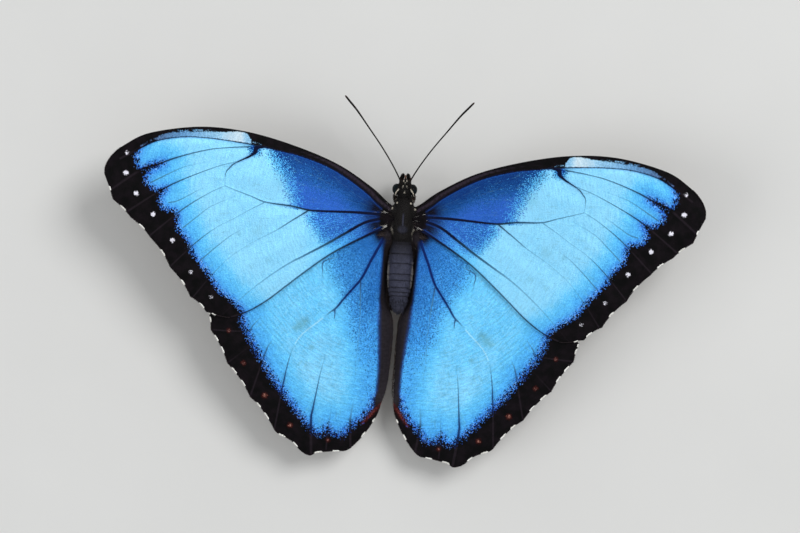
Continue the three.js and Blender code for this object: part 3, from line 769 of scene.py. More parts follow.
def worn_blue(t, place, lie, jitter, strands):
    """The blue with its scuffs, fading to black at the wing's root."""
    wear = t.noise(lie * (0.3, 1.6, 1.0), 1.0, 3.0).ease(0.55, 0.75) * 0.22
    smudge = t["smudge"] * (t.noise(place, 1.6, 3.0) + 0.25)
    blue = blue_colour(t, place, jitter, strands)
    blue = t.mix(t.math("MAXIMUM", wear, smudge), blue, (94, 146, 150))
    return t.mix(strands * 1.2 * t["root"] + t["root"], blue, (12, 9, 15))


def black_colour(t, place):
    """The borders' black, with dull veins and the paler streak behind the front margin."""
    black = t.mix(t.noise(place, 0.5, 4.0).ease(0.35, 0.7), BLACK_SCALES, BROWN_BLACK)
    vein = t["vein"].ease(-0.12, 0.05) * t["vein_dark"] * t["blue"].ease(-0.5, -1.5)
    black = t.mix(vein * t["root"].ease(1.0, 0.2) * 0.6, black, (38, 31, 38))
    return t.mix(t["streak"].ease(-0.2, 0.2) * 0.75, black, (52, 44, 56))


def with_veins(t, colour, is_blue, third):
    """Dark veins with a deep blue halo, and a painted highlight along them where they are pale."""
    dark = t["vein_dark"]
    vein = (third.spread(0.06) + t["vein"]).ease(-0.08, 0.02)
    halo = t["vein"].ease(-0.5, 0.0) * dark.ease(0.5, 1.0)
    colour = t.mix(is_blue * 0.4 * halo, colour, (28, 78, 168))
    line = t.mix(dark, (90, 164, 210), t.mix(t["warm"], (10, 17, 44), (12, 35, 92)))
    colour = t.mix(dark.ease(0.0, 0.6) * is_blue * vein, colour, line)
    # painted highlight: a pale line along the veins where they are pale
    return t.mix(dark.ease(0.06, 0.0) * is_blue * vein * 0.6, colour, (178, 230, 250))


def with_spots(t, colour, jitter):
    """The border's spots, white on the forewing and red-ringed behind, and the margin's dashes."""
    first, _, third, _ = jitter
    warm = t["warm"]
    edge = third.spread(0.34) + t["spot"]
    colour = t.mix(warm * 0.7 * edge.ease(-0.5, 0.0), colour, (66, 20, 17))
    spot = t.mix(warm, (238, 236, 248), (152, 104, 92))
    spot = t.mix(t["red"].ease(-0.5, -0.3), spot, (116, 44, 34))
    spot = t.mix(t["dim"] * 0.5, spot, (44, 46, 56))
    colour = t.mix(edge.ease(-0.12, 0.16), colour, spot)
    return t.mix((first.spread(0.06) + t["dash"]).ease(-0.06, 0.02), colour, (250, 250, 245))


def wing_upper(t, place, lie, jitter):
    """Blue upper side: each scale is blue or black, so the edges of the markings are speckled."""
    first, second, third, _ = jitter
    strands = t.noise(lie * (0.8, 3.0, 1.0), 1.0) - 0.5
    speckle = (first - 0.5) * (t["warm"] + 1.6)
    edge = strands * 1.5 + speckle + t.noise(place, 0.8, 3.0).spread(0.9) + t["blue"]
    is_blue = edge.ease(-0.07, 0.07)
    colour = t.mix(is_blue, black_colour(t, place), worn_blue(t, place, lie, jitter, strands))
    patch_edge = first.spread(0.2) + strands * 0.3 + t["patch"]
    patch = t.ramp(second.spread(0.2) + t["white"], PATCH_WHITES)
    colour = t.mix(patch_edge.ease(-0.05, 0.1), colour, patch)
    colour = with_veins(t, colour, is_blue, third)
    fold = t.mix(t.noise(place, 2.0, 4.0), (24, 21, 23), (50, 46, 52))
    fold = t.mix(t["blue"].ease(-1.4, 1.0) * 0.6, fold, (28, 62, 122))
    return with_spots(t, t.mix(t["fold"], colour, fold), jitter), is_blue


def wing_under(t, place, jitter):
    """Brown underside with eye-spots, cream bands and lines along the margin."""
    first, second, _, _ = jitter
    ground = t.ramp(t.noise(place, 0.12, 4.0, 0.6), BROWNS)
    ground = t.mix(first.spread(0.5), ground, (150, 128, 100))
    wobble = t.noise(place, 0.8).spread(1.1)
    band = t["band"] + wobble
    ground = t.mix(band.ease(-1.2, -0.2), ground, (50, 34, 27))
    ground = t.mix(band.ease(-0.25, 0.35) * 0.72, ground, (184, 164, 130))
    rim = t["rim"] + wobble * 0.3
    ground = t.mix(rim.ease(5.6, 4.2) * 0.6, ground, (60, 42, 34))
    for start, end, colour in MARGIN_LINES:
        ground = t.mix(rim.ease(start, end), ground, colour)
    ring = t["ring"] + second.spread(0.05)
    ground = t.mix(ring.ease(1.06, 1.0), ground, t.ramp(ring, EYE_SPOT))
    return t.mix(t["vein"].ease(-0.14, 0.04) * 0.5, ground, (62, 44, 34))


def wing_material():
    t = Tree("wing")
    place = t.vector("flat")
    lie = t.vector("lie")
    jitter = t.cells(lie * (0.85, 1.1, 1.0), 6.8)
    upper, is_blue = wing_upper(t, place, lie, jitter)
    top = t["top"].ease(0.45, 0.55)
    colour = t.mix(top, wing_under(t, place, jitter), upper)
    rows = t.noise(lie * (2.5, 0.5, 1.0), 1.0) - 0.5
    # painted shade: the ripples of the scale rows darken and lighten the colour in lines, and each scale
    # also has a random tone
    shade = (rows * (t["warm"] * 0.45 + 0.4) + 1.0) * (jitter[1] * 0.14 + 0.93)
    colour = t.mix(1.0, colour, shade, "MULTIPLY")
    normal = t.bump(jitter[3], 0.03, t.bump(rows, 0.05))
    shine = is_blue * top
    return t.shader(colour, 0.62 - shine * 0.2, normal, {"Metallic": shine * 0.35, SPECULAR: 0.06})


# ---------------------------------------------------------------- wings

GRID = 0.5                     # spacing of the sheet's points
VEIN_ROWS = (0, 0.12, -0.12, 0.3, -0.3)
ROW_INSET, GRID_INSET = 0.14, 0.24     # how far points keep from the edge
VEIN_CLEAR = 0.5               # how far the grid keeps from the veins' rows
SHEET_HALF = (0.07, 0.14)      # half the thickness, at the edge and further in
BILLOW, RIPPLE = 0.26, 0.2     # heights of the swell between veins and of the edge's waves
RIPPLES = 34                   # how closely those waves follow each other round the root
PROBE = 0.05                   # the step over which a slope is measured


def thinned(points, cell=0.1):
    """One point for each small square."""
    _, first = np.unique(np.floor(points / cell).astype(int), axis=0, return_index=True)
    return points[np.sort(first)]


def flat_sheet(outline, veins):
    """Points and triangles of a wing laid flat, with rows of points along its veins."""
    rows = []
    for line, _, _ in veins:
        line = even(curve(line, 6), EDGE_STEP)
        turned = np.gradient(line, axis=0)[:, ::-1] * (1, -1)
        rows += [line + unit(turned) * offset for offset in VEIN_ROWS]
    rows = thinned(np.concatenate(rows))
    rows = rows[depth_in(rows, outline) > ROW_INSET]
    low, high = outline.min(0), outline.max(0)
    columns = np.arange(low[0], high[0], GRID)
    grid = [np.stack([columns + (k % 2) * GRID / 2, np.full(len(columns), fore)], 1)
            for k, fore in enumerate(np.arange(low[1], high[1], GRID * math.sqrt(0.75)))]
    grid = np.concatenate(grid)
    grid = grid[depth_in(grid, outline) > GRID_INSET]
    gap = np.min([distance(grid, curve(line, 4))[0] for line, _, _ in veins], axis=0)
    grid = grid[gap > VEIN_CLEAR]
    points = np.concatenate([outline, rows, grid])
    loop = [(k, (k + 1) % len(outline)) for k in range(len(outline))]
    verts, _, faces, *_ = geometry.delaunay_2d_cdt(
        [Vector(p) for p in points.tolist()], loop, [], 1, 1e-6, False)
    points = np.array([tuple(v) for v in verts])
    triangles = np.array([face for face in faces if len(face) == 3])
    return points, triangles[within(points[triangles].mean(1), outline)]


def outline_of(front, hind):
    """The whole margin, its teeth slightly rounded."""
    path = np.concatenate([even(front, EDGE_STEP), even(hind, EDGE_STEP)[::-1][1:]])
    for _ in range(2):
        path[1:-1] = (path[:-2] + 2 * path[1:-1] + path[2:]) / 4
    return path


def boundary_edges(triangles):
    """Edges that only one triangle uses, in that triangle's direction."""
    edges = np.concatenate([triangles[:, [0, 1]], triangles[:, [1, 2]], triangles[:, [2, 0]]])
    _, index, counts = np.unique(np.sort(edges, 1), axis=0, return_index=True, return_counts=True)
    return edges[index[counts == 1]]


class Wing:
    """A flat sheet with its fields, made once for both sides."""

    def __init__(self, front, hind, veins, fields, surface, pivot, angle, root):
        self.outline = outline_of(front, hind)
        self.points, self.triangles = flat_sheet(self.outline, veins)
        corners = self.points[self.triangles]
        sides = corners[:, 1:] - corners[:, :1]
        turned = sides[:, 0, 0] * sides[:, 1, 1] < sides[:, 0, 1] * sides[:, 1, 0]
        self.triangles[turned] = self.triangles[turned][:, ::-1]
        self.surface, self.pivot, self.angle, self.root = surface, pivot, angle, root
        self.fields = {key: np.broadcast_to(value, len(self.points))
                       for key, value in fields(self.points).items()}
        self.low = self.points.min(0)
        self.size = self.points.max(0) - self.low
        vein_gap = np.maximum(-self.fields["vein"], 0)
        edge = depth_in(self.points, self.outline)
        self.half = mix(*SHEET_HALF, ease(edge, 0, 1.6))
        self.billow = BILLOW * ease(vein_gap, 0, 4.5) * ease(edge, 0, 3)
        from_root = self.points - root
        reach = ease(np.hypot(*from_root.T), 24, 44)
        self.ripple = RIPPLE * ease(edge, 5, 0) * reach * np.sin(np.arctan2(*from_root.T[::-1]) * RIPPLES)

    def placed(self, flat, side, lift):
        """Where flat places lie on the wing, and the wing's upward normal there, in the body frame."""
        def spot(out, fore):
            return sweep(self.surface(out, fore, side), self.pivot, SIDES[side] * self.angle)

        out, fore = np.asarray(flat).T
        centre = spot(out, fore)
        normal = unit(np.cross(spot(out + PROBE, fore) - centre, spot(out, fore + PROBE) - centre))
        return centre + normal * np.reshape(lift, (-1, 1)), normal

    def map_place(self, flat, top):
        """Place on the wing's own unwrap: the upper side above and the underside below."""
        share = (np.asarray(flat) - self.low) / self.size
        return np.stack([0.02 + 0.96 * share[:, 0], np.where(top, 0.52, 0.02) + 0.46 * share[:, 1]], 1)

    def lie(self, flat):
        """Distance from the wing's root, and distance round it, along which the scales lie in rows."""
        out, fore = np.asarray(flat).T
        x, y = out - self.root[0], fore - self.root[1]
        return np.stack([np.hypot(x, y), np.arctan2(y, x) * 30, np.zeros(len(x))], 1)

    def unwrap(self, mesh, flat, upper):
        """The bake map: both faces, and the edge's strip at the upper side's rim."""
        count = len(self.points)
        corners = corner_points(mesh)
        places = self.map_place(flat, upper)[corners]
        in_strip = np.repeat(np.arange(len(mesh.polygons)) >= 2 * len(self.triangles), 3)
        above = self.map_place(flat, True)[corners]
        above += np.where(corners >= count, 0.002, 0)[:, None]
        places[in_strip] = above[in_strip]
        bake_map(mesh, places)

    def build(self, name, side, material):
        count = len(self.points)
        centre, normal = self.placed(self.points, side, self.billow + self.ripple)
        centre[:, 0] = np.maximum(centre[:, 0], 0.12)
        ridge = self.fields["ridge"]
        top = centre + normal * (self.half + 0.6 * ridge)[:, None]
        under = centre - normal * (self.half + ridge)[:, None]
        points = np.concatenate([top, under])
        rim = boundary_edges(self.triangles)
        strip = np.concatenate([
            np.stack([rim[:, 1], rim[:, 0], rim[:, 0] + count], 1),
            np.stack([rim[:, 1], rim[:, 0] + count, rim[:, 1] + count], 1)])
        triangles = np.concatenate([self.triangles, self.triangles[:, ::-1] + count, strip])
        if side == "right":
            triangles = triangles[:, ::-1]
        # the body frame is mirrored in the frame's, so every face turns once more
        mesh = new_mesh(name, put(mirrored(points, side)), triangles[:, ::-1])
        flat = np.concatenate([self.points, self.points])
        upper = np.repeat([1.0, 0.0], count)
        seed = np.full((2 * count, 1), 20.0 * SIDES[side])
        store(mesh, {key: np.concatenate([value, value]) for key, value in self.fields.items()})
        store(mesh, {"top": upper, "flat": np.concatenate([flat, seed], 1), "lie": self.lie(flat)})
        self.unwrap(mesh, flat, upper > 0.5)
        mesh.set_sharp_from_angle(angle=math.radians(50))
        return new_object(name, mesh, material)


WINGS = {
    "forewing": Wing(FOREWING_FRONT, FOREWING_HIND, FOREWING_VEINS + FOREWING_FOLDS, forewing_fields,
                     forewing_surface, FOREWING_PIVOT, FOREWING_SWEEP, (1, 3)),
    "hindwing": Wing(HINDWING_FRONT, HINDWING_HIND, HINDWING_VEINS, hindwing_fields,
                     hindwing_surface, HINDWING_PIVOT, HINDWING_SWEEP, (2, 1))}
wing_finish = wing_material()
for side in SIDES:
    for label, wing in WINGS.items():
        name = f"{label}_{side}"
        finish_piece(wing.build(f"{name}_scaled", side, wing_finish), [name])

# ---------------------------------------------------------------- solids round a path


def loft(rings):
    """A closed skin over rings of equal size, each end closed by a fan."""
    count, sides, _ = rings.shape
    index = np.arange(count * sides).reshape(count, sides)
    a, c = index[:-1], index[1:]
    b, d = np.roll(a, -1, 1), np.roll(c, -1, 1)
    parts = [np.stack([a, b, d], -1).reshape(-1, 3), np.stack([a, d, c], -1).reshape(-1, 3)]
    for ring, middle, turn in ((index[0], count * sides, 1), (index[-1], count * sides + 1, -1)):
        fan = np.stack([np.roll(ring, -1), ring, np.full(sides, middle)], -1)
        parts.append(fan[:, ::turn])
    ends = rings[[0, -1]].mean(1)
    return np.concatenate([rings.reshape(-1, 3), ends]), np.concatenate(parts)


def outward(points, triangles):
    """The same triangles, turned if they face inward."""
    a, b, c = (points[triangles[:, k]] for k in range(3))
    volume = np.einsum("ij,ij->", a, np.cross(b, c))
    return triangles if volume > 0 else triangles[:, ::-1]


def tube(path, radii, sides):
    """Rings round a path, with a frame carried along it."""
    path = np.asarray(path, float)
    along = unit(np.gradient(path, axis=0))
    across = unit(np.cross(along[0], (0.3, 0.2, 1)))
    turn = np.linspace(0, 2 * math.pi, sides, endpoint=False)
    rings = []
    for centre, heading, radius in zip(path, along, radii):
        across = unit(across - heading * (across @ heading))
        other = np.cross(heading, across)
        rings.append(centre + radius * (np.cos(turn)[:, None] * across + np.sin(turn)[:, None] * other))
    return loft(np.array(rings))


def rounded_ends(rows):
    """Rows of a limb, (out, fore, up, radius), with its last point drawn in to a rounded end."""
    last, before = rows[-1], rows[-2]
    step = unit(last[:3] - before[:3])
    extra = [np.append(last[:3] + step * last[3] * reach, last[3] * width)
             for reach, width in ((0.35, 0.9), (0.65, 0.7), (0.85, 0.4))]
    return np.concatenate([rows, extra])


# ---------------------------------------------------------------- the body's skin

THORAX = [
    (8.0, 8.5, 0.6, 0.6, 0.6), (7.4, 8.5, 1.3, 1.3, 1.3), (6.6, 8.5, 1.85, 1.9, 2.0),
    (5.2, 8.5, 2.35, 2.7, 2.7), (3.0, 8.5, 2.5, 3.0, 3.1), (1.0, 8.5, 2.5, 2.8, 3.1),
    (-0.8, 8.5, 2.3, 2.3, 2.8), (-2.2, 8.5, 2.0, 1.9, 2.2), (-3.0, 8.5, 1.4, 1.3, 1.4)]
ABDOMEN = [
    (0.0, 8.5, 1.5, 1.4, 1.5), (-1.4, 8.5, 2.0, 1.95, 2.1), (-4, 8.4, 2.35, 2.25, 2.3),
    (-7, 8.3, 2.6, 2.4, 2.4), (-10, 8.1, 2.6, 2.35, 2.35), (-13, 7.8, 2.2, 2.05, 2.0),
    (-15.4, 7.5, 1.6, 1.5, 1.4), (-16.8, 7.35, 0.95, 0.9, 0.9), (-17.3, 7.3, 0.4, 0.4, 0.4)]
HEAD = [
    (6.8, 8.5, 0.9, 0.9, 0.9), (7.6, 8.5, 1.35, 1.4, 1.4), (8.4, 8.5, 1.8, 1.75, 1.8),
    (9.4, 8.5, 1.85, 1.8, 1.9), (10.4, 8.45, 1.55, 1.5, 1.7), (11.1, 8.4, 0.95, 1.0, 1.2),
    (11.4, 8.4, 0.4, 0.45, 0.5)]
EYE_CENTRE = np.array((1.7, 9.25, 8.75))
EYE_RADII = np.array((1.0, 1.2, 1.4))
FLESH_INSET = 0.13             # how far the torso's skin lies inside the CAD's flesh
PALP_INSET, LEG_INSET = 0.12, 0.09
BUMPS = (                      # the left side's shoulders and crown, (centre, radii)
    ((2.1, 4.6, 10.2), (0.7, 1.1, 0.55)), ((1.1, 6.55, 9.7), (0.6, 0.5, 0.55)),
    ((2.2, 1.6, 9.6), (0.6, 1.6, 0.8)), ((0.75, 10.1, 9.4), (0.42, 0.42, 0.4)))
ORBIT_RADIUS = 0.23
HIND_BUMP = ((0, -0.9, 10.35), (1.1, 0.9, 0.5))
PALP = [
    (0.88, 9.9, 6.9, 0.3), (0.88, 10.7, 6.6, 0.46), (0.78, 11.5, 6.95, 0.52), (0.63, 12.15, 7.9, 0.48),
    (0.52, 12.4, 9.0, 0.38), (0.47, 12.45, 9.75, 0.26)]
ANTENNA = [
    (0.75, 9.9, 9.6, 0.3), (1.15, 11.2, 10.5, 0.34), (2.85, 14.2, 11.7, 0.27),
    (5.4, 18.0, 12.8, 0.26), (8.3, 21.8, 13.7, 0.26), (11.0, 25.3, 14.3, 0.29),
    (12.8, 27.3, 14.6, 0.36), (13.8, 28.4, 14.7, 0.3)]
TOE_UP = 0.2
LEGS = {
    "front": [
        (0.9, 4.9, 6.4, 0.6), (1.35, 6.1, 5.0, 0.5), (2.0, 7.9, 4.9, 0.4), (2.0, 8.9, 5.0, 0.34),
        (1.5, 9.1, 4.3, 0.3), (1.05, 8.1, 3.7, 0.27)],
    "mid": [
        (1.2, 2.4, 6.4, 0.8), (2.0, 2.6, 5.1, 0.6), (4.8, 3.6, 6.0, 0.58), (7.9, 4.6, 7.3, 0.45),
        (8.5, 4.5, 6.9, 0.4), (9.9, 3.6, 3.4, 0.34), (11.0, 2.9, 0.9, 0.32),
        (11.5, 2.6, TOE_UP, 0.31), (13.2, 1.7, TOE_UP, 0.3), (14.9, 0.9, TOE_UP, 0.28)],
    "hind": [
        (1.2, -0.3, 6.4, 0.8), (1.9, -1.0, 5.1, 0.6), (3.9, -3.6, 5.2, 0.58), (6.3, -6.3, 6.5, 0.45),
        (6.8, -7.0, 6.2, 0.4), (7.8, -10.2, 3.3, 0.34), (8.5, -12.8, 0.9, 0.32),
        (8.7, -13.5, TOE_UP, 0.31), (9.2, -16.0, TOE_UP, 0.3), (9.7, -18.4, TOE_UP, 0.28)],
}
STAGGER = {
    "front": {"left": 0, "right": 0}, "mid": {"left": 0.5, "right": -0.5},
    "hind": {"left": -0.6, "right": 0.4},
}
ABDOMEN_RINGS = (-2.5, -4.6, -6.7, -9.0, -10.35, -11.9, -12.9, -13.75, -14.7, -17.0)
ORBIT = [                      # the raised rim at the inner and hind side of the left eye
    (1.22, 10.2, 9.5), (1.28, 9.75, 9.9), (1.45, 9.1, 10.1), (1.82, 8.42, 9.75), (2.06, 8.14, 9.0),
    (2.02, 8.1, 8.2), (1.75, 8.3, 7.6)]
ORBIT_LINE = [                 # the line of pale hair along it
    (1.22, 9.24, 10.28), (1.45, 9.0, 10.28), (1.72, 8.68, 10.1), (1.86, 8.35, 9.85),
    (1.92, 8.05, 9.45)]
SKIN_VOXEL = 0.11
SKIN_FLOOR = 0.03              # the skin's lowest point above the floor
PALE_SPOTS = (                 # (out, fore, radius), on each side
    (1.5, 6.3, 0.16), (2.4, 5.1, 0.16), (0, 8.8, 0.13), (0.52, 9.6, 0.13), (0, 10.35, 0.13),
    (0.3, 11.0, 0.13))


def leg_path(pair, side):
    """A leg's rows, with its foot a little ahead of or behind the other side's."""
    hip = LEGS[pair][0][2]
    return mirrored([(out, fore + STAGGER[pair][side] * max(1 - up / hip, 0), up, radius)
                     for out, fore, up, radius in LEGS[pair]], side)


def bent_limb(rows, per_row=6):
    """A limb with a short bend at each joint, slim at the joints and fuller between them."""
    rows = np.asarray(rows, float)
    parts = [rows[:1]]
    for first, last in zip(rows[:-1], rows[1:]):
        t = np.linspace(0, 1, per_row + 1)[1:, None]
        part = first + (last - first) * t
        part[:, 3] *= 0.9 + 0.14 * np.sin(np.pi * t[:, 0])
        parts.append(part)
    return rounded_ends(np.concatenate(parts))


def torso_part(sections, inset):
    rows = smooth_rows(sections, 60)
    turn = np.linspace(0, 2 * math.pi, 48, endpoint=False)
    fore, up, width, above, below = (column[:, None] for column in rows.T)
    reach = np.where(np.sin(turn) > 0, above, below) - inset
    out = (width - inset) * np.cos(turn)
    return loft(np.stack([out, fore + 0 * out, up + reach * np.sin(turn)], -1))


def ball(centre, radii, rows=24, sides=32):
    """An ellipsoid as rings along its out axis."""
    tilt = np.linspace(0, math.pi, rows + 2)[1:-1]
    turn = np.linspace(0, 2 * math.pi, sides, endpoint=False)
    rings = np.stack([
        np.cos(tilt)[:, None] + 0 * turn, np.sin(tilt)[:, None] * np.cos(turn),
        np.sin(tilt)[:, None] * np.sin(turn)], -1)
    return loft(np.asarray(centre) + rings * radii)


def limb_tube(rows, inset):
    return tube(rows[:, :3], rows[:, 3] - inset, 16)


def skin_parts():
    parts = [torso_part(sections, FLESH_INSET) for sections in (THORAX, ABDOMEN, HEAD)]
    for side in SIDES:
        parts += [ball(mirrored(centre, side), radii) for centre, radii in BUMPS]
        orbit = curve(mirrored(ORBIT, side), 6)
        parts.append(tube(orbit, np.full(len(orbit), ORBIT_RADIUS), 12))
        parts.append(limb_tube(bent_limb(smooth_rows(mirrored(PALP, side), 10)), PALP_INSET))
        parts += [limb_tube(bent_limb(leg_path(pair, side)), LEG_INSET) for pair in LEGS]
    parts.append(ball(*HIND_BUMP))
    return parts


def joined(parts):
    points, triangles, count = [], [], 0
    for part_points, part_triangles in parts:
        world = put(part_points)
        points.append(world)
        triangles.append(outward(world, part_triangles) + count)
        count += len(world)
    return np.concatenate(points), np.concatenate(triangles)


def skin_mesh():
    """One closed skin over all the flesh, remeshed in millimetres so that it has no seam."""
    points, triangles = joined(skin_parts())
    obj = linked("skin_parts", new_mesh("skin_parts", points / MM, triangles))
    remesh = obj.modifiers.new("remesh", "REMESH")
    remesh.mode = "VOXEL"
    remesh.voxel_size = SKIN_VOXEL
    smooth = obj.modifiers.new("smooth", "SMOOTH")
    smooth.factor = 0.5
    smooth.iterations = 3
    graph = bpy.context.evaluated_depsgraph_get()
    skin = bpy.data.meshes.new_from_object(obj.evaluated_get(graph))
    bpy.data.objects.remove(obj)
    skin.name = "skin"
    skin.shade_smooth()
    return skin


def groove(gap, depth, half):
    """How deep a groove is at a distance from its middle."""
    return depth * np.exp(-(gap / half) ** 2)


def skin_relief(p):
    """Heights in millimetres of the skin's folds and plates."""
    out, fore, up = p.T
    rings = np.array(ABDOMEN_RINGS)
    k = np.clip(np.searchsorted(-rings, -fore) - 1, 0, len(rings) - 2)
    share = np.clip((rings[k] - fore) / (rings[k] - rings[k + 1]), 0, 1)
    gap = np.min(np.abs(fore[:, None] - rings), axis=1)
    on_abdomen = ease(fore, -1.9, -2.4) * (np.abs(out) < 2.8) * (up > 5.2)
    relief = (0.13 * (share - 0.4) - groove(gap, 0.17, 0.14)) * on_abdomen
    back = ease(up, 10.2, 10.9) * ease(fore, -1.6, -0.6) * ease(fore, 6.4, 5.8)
    relief -= groove(out, 0.12, 0.16) * back * ease(fore, 4.6, 3.8)
    vee = np.abs(np.abs(out) - (0.55 + 0.27 * (fore + 0.4)))
    relief -= groove(vee, 0.12, 0.14) * back * ease(fore, 0.2, 1.2)
    relief -= groove(fore + 0.15 + 0.25 * np.cos(out * 1.6), 0.2, 0.16) * ease(up, 9.6, 10.4)
    relief -= groove(fore + 2.1, 0.3, 0.22) * ease(up, 9.0, 9.8)
    return relief


def eye_reach(p):
    """Distance from the nearer eye's middle, 1 on its surface."""
    away = np.abs(p[:, :1]) - EYE_CENTRE[0]
    offset = np.concatenate([away, p[:, 1:] - EYE_CENTRE[1:]], 1) / EYE_RADII
    return np.linalg.norm(offset, axis=1)


def markings(p):
    """Shares of each colour of the body's scales, and of a painted sheen on the thorax's back: one rule for
    the skin and the coat.
    """
    out, fore, up = p.T
    side = np.abs(out)
    pale = np.zeros(len(p))
    for spot_out, spot_fore, radius in PALE_SPOTS:
        gap = np.hypot(side - spot_out, (fore - spot_fore) * 0.8)
        pale = np.maximum(pale, ease(gap, radius * 1.25, radius * 0.8) * (up > 8.9))
    line_gap, _ = distance(np.stack([side, fore, up], 1), curve(ORBIT_LINE))
    pale = np.maximum(pale, ease(line_gap, 0.12, 0.08))
    collar = 0.7 * ease(fore, 6.6, 6.9) * ease(fore, 8.0, 7.7) * ease(side, 1.25, 1.4)
    pale = np.maximum(pale, collar * ease(up, 8.1, 8.3) * ease(up, 8.85, 8.7))
    abdomen = ease(fore, -1.7, -2.6) * (side < 2.9) * (up > 5)
    ring_gap = np.min(np.abs(fore[:, None] - np.array(ABDOMEN_RINGS)), axis=1)
    line = np.exp(-(ring_gap / 0.13) ** 2) * abdomen
    under = ease(up, mix(7.4, 6.9, ease(-fore, 4, 16)), mix(6.6, 6.2, ease(-fore, 4, 16)))
    lobes = abdomen * ease(side, 2.1, 2.35) * ease(-fore, 5, 8) * (1 - line)
    flank = ease(np.abs(side - (2.05 + 0.28 * (fore + 0.1))), 0.2, 0.08)
    flank *= ease(fore, -0.6, 0.1) * ease(fore, 2.2, 1.2) * (up > 9)
    # painted sheen: a pale blue-grey line along the middle of the thorax's back, and a round patch over its
    # hind plate
    middle = 0.9 * ease(side, 0.24, 0.08) * ease(fore, 1.0, 1.6) * ease(fore, 4.3, 3.4) * (up > 10.4)
    painted_plate_sheen = 0.45 * ease(np.hypot(out * 0.8, fore - 0.6), 1.15, 0.4) * (up > 10)
    limb = np.maximum(ease(up, 5.4, 4.9), (side > 2.9) * 1.0)
    palp = ease(fore, 10.9, 11.3) * ease(up, 7.7, 6.7)
    back = mix(0.3, 1.0, ease(-fore, 2.5, 7.0)) * (1 - 0.85 * line)
    return {
        "pale": np.maximum(pale * (1 - abdomen), np.maximum(0.32 * lobes, 0.4 * flank)),
        # this share covers the abdomen's own slate scales and also the painted sheen on the thorax's back
        "slate_and_sheen": np.maximum(abdomen * (1 - under) * back, np.maximum(middle, painted_plate_sheen)),
        "tan": abdomen * under,
        "rust": np.maximum(palp, 0.4 * ease(up, 7.4, 6.2) * (1 - abdomen)) * (1 - limb * 0.8),
        "limb": limb * (1 - palp),
    }


def scale_colour(t, place):
    """The body's colour from its markings, with clouds and fine flecks."""
    clouds = t.noise(place, 0.8, 4.0, 0.6)
    colour = t.mix(clouds, (8, 7, 8), (23, 20, 20))
    # the slate colour also paints the sheen on the thorax's back
    for name, dark, light in (("slate_and_sheen", (47, 49, 64), (74, 76, 95)), ("tan", (112, 90, 66), (158, 134, 104)),
                              ("rust", (70, 40, 26), (104, 62, 40)), ("limb", (42, 32, 27), (82, 64, 50))):
        colour = t.mix(t[name], colour, t.mix(clouds, dark, light))
    colour = t.mix(t["pale"], colour, (238, 230, 214))
    return t.mix(1.0, colour, t.noise(place, 9.0).ease(0.25, 0.75, (0.78, 1.22)), "MULTIPLY")


def skin_material():
    t = Tree("skin")
    place = t.vector("body")
    pits = t.bump(t.cells(place, 9.0)[3], 0.035)
    normal = t.bump(t.noise(place * (14.0, 4.0, 14.0), 1.0), 0.02, pits)
    return t.shader(scale_colour(t, place), 0.7, normal, {SPECULAR: 0.15})


def coat_material():
    t = Tree("coat")
    place = t.vector("body")
    tone = (t["tone"] * 0.7 + 0.65) * (t["tip"] * 0.45 + 0.8)
    colour = t.mix(1.0, scale_colour(t, place), tone, "MULTIPLY")
    return t.shader(colour, 0.6, t.bump(t.noise(place, 20.0), 0.01), {SPECULAR: 0.18, "Sheen Weight": 0.03})


def build_skin():
    mesh = skin_mesh()
    world = read(mesh.vertices, "co", 3).astype(float) * MM
    normals = read(mesh.vertices, "normal", 3)
    world = world + normals * (skin_relief(body_frame(world)) * MM)[:, None]
    world[:, 2] = np.maximum(world[:, 2], SKIN_FLOOR * MM)
    mesh.vertices.foreach_set("co", world.astype(np.float32).ravel())
    mesh.update()
    place = body_frame(world)
    store(mesh, {"body": place, **markings(place)})
    obj = new_object("skin", mesh, skin_material())
    mesh.uv_layers.new(name="OFBake")
    bpy.context.view_layer.objects.active = obj
    obj.select_set(True)
    bpy.ops.object.mode_set(mode="EDIT")
    bpy.ops.mesh.select_all(action="SELECT")
    bpy.ops.uv.smart_project(angle_limit=math.radians(66), island_margin=0.002)
    bpy.ops.object.mode_set(mode="OBJECT")
    obj.select_set(False)
    limbs = [f"{part}_{side}" for side in SIDES for part in ("palp", "leg_front", "leg_mid", "leg_hind")]
    finish_piece(obj, ["head", "thorax", "abdomen", *limbs])
    return obj


skin = build_skin()

# ---------------------------------------------------------------- tufts

TUFT_PATCH = 0.0015        # half the width of a tuft's patch on the bake map
PATCH_PLACES = np.array([(-1, -1), (1, -1), (0, -0.6), (-0.8, 0.2), (0.8, 0.2), (0, 0.3), (0, 1)])
TUFT_FACES = np.array([
    (0, 2, 1), (0, 1, 4), (0, 4, 3), (1, 2, 5), (1, 5, 4), (2, 0, 3), (2, 3, 5),
    (3, 4, 6), (4, 5, 6), (5, 3, 6)])
TUFT_POINTS = len(PATCH_PLACES)
FLOOR_CLEAR = 0.05         # how near the floor a tuft's tip may come
HAIR = (1.0, 0.62)         # share of the width at the root and half way
SCALE = (0.55, 1.0)


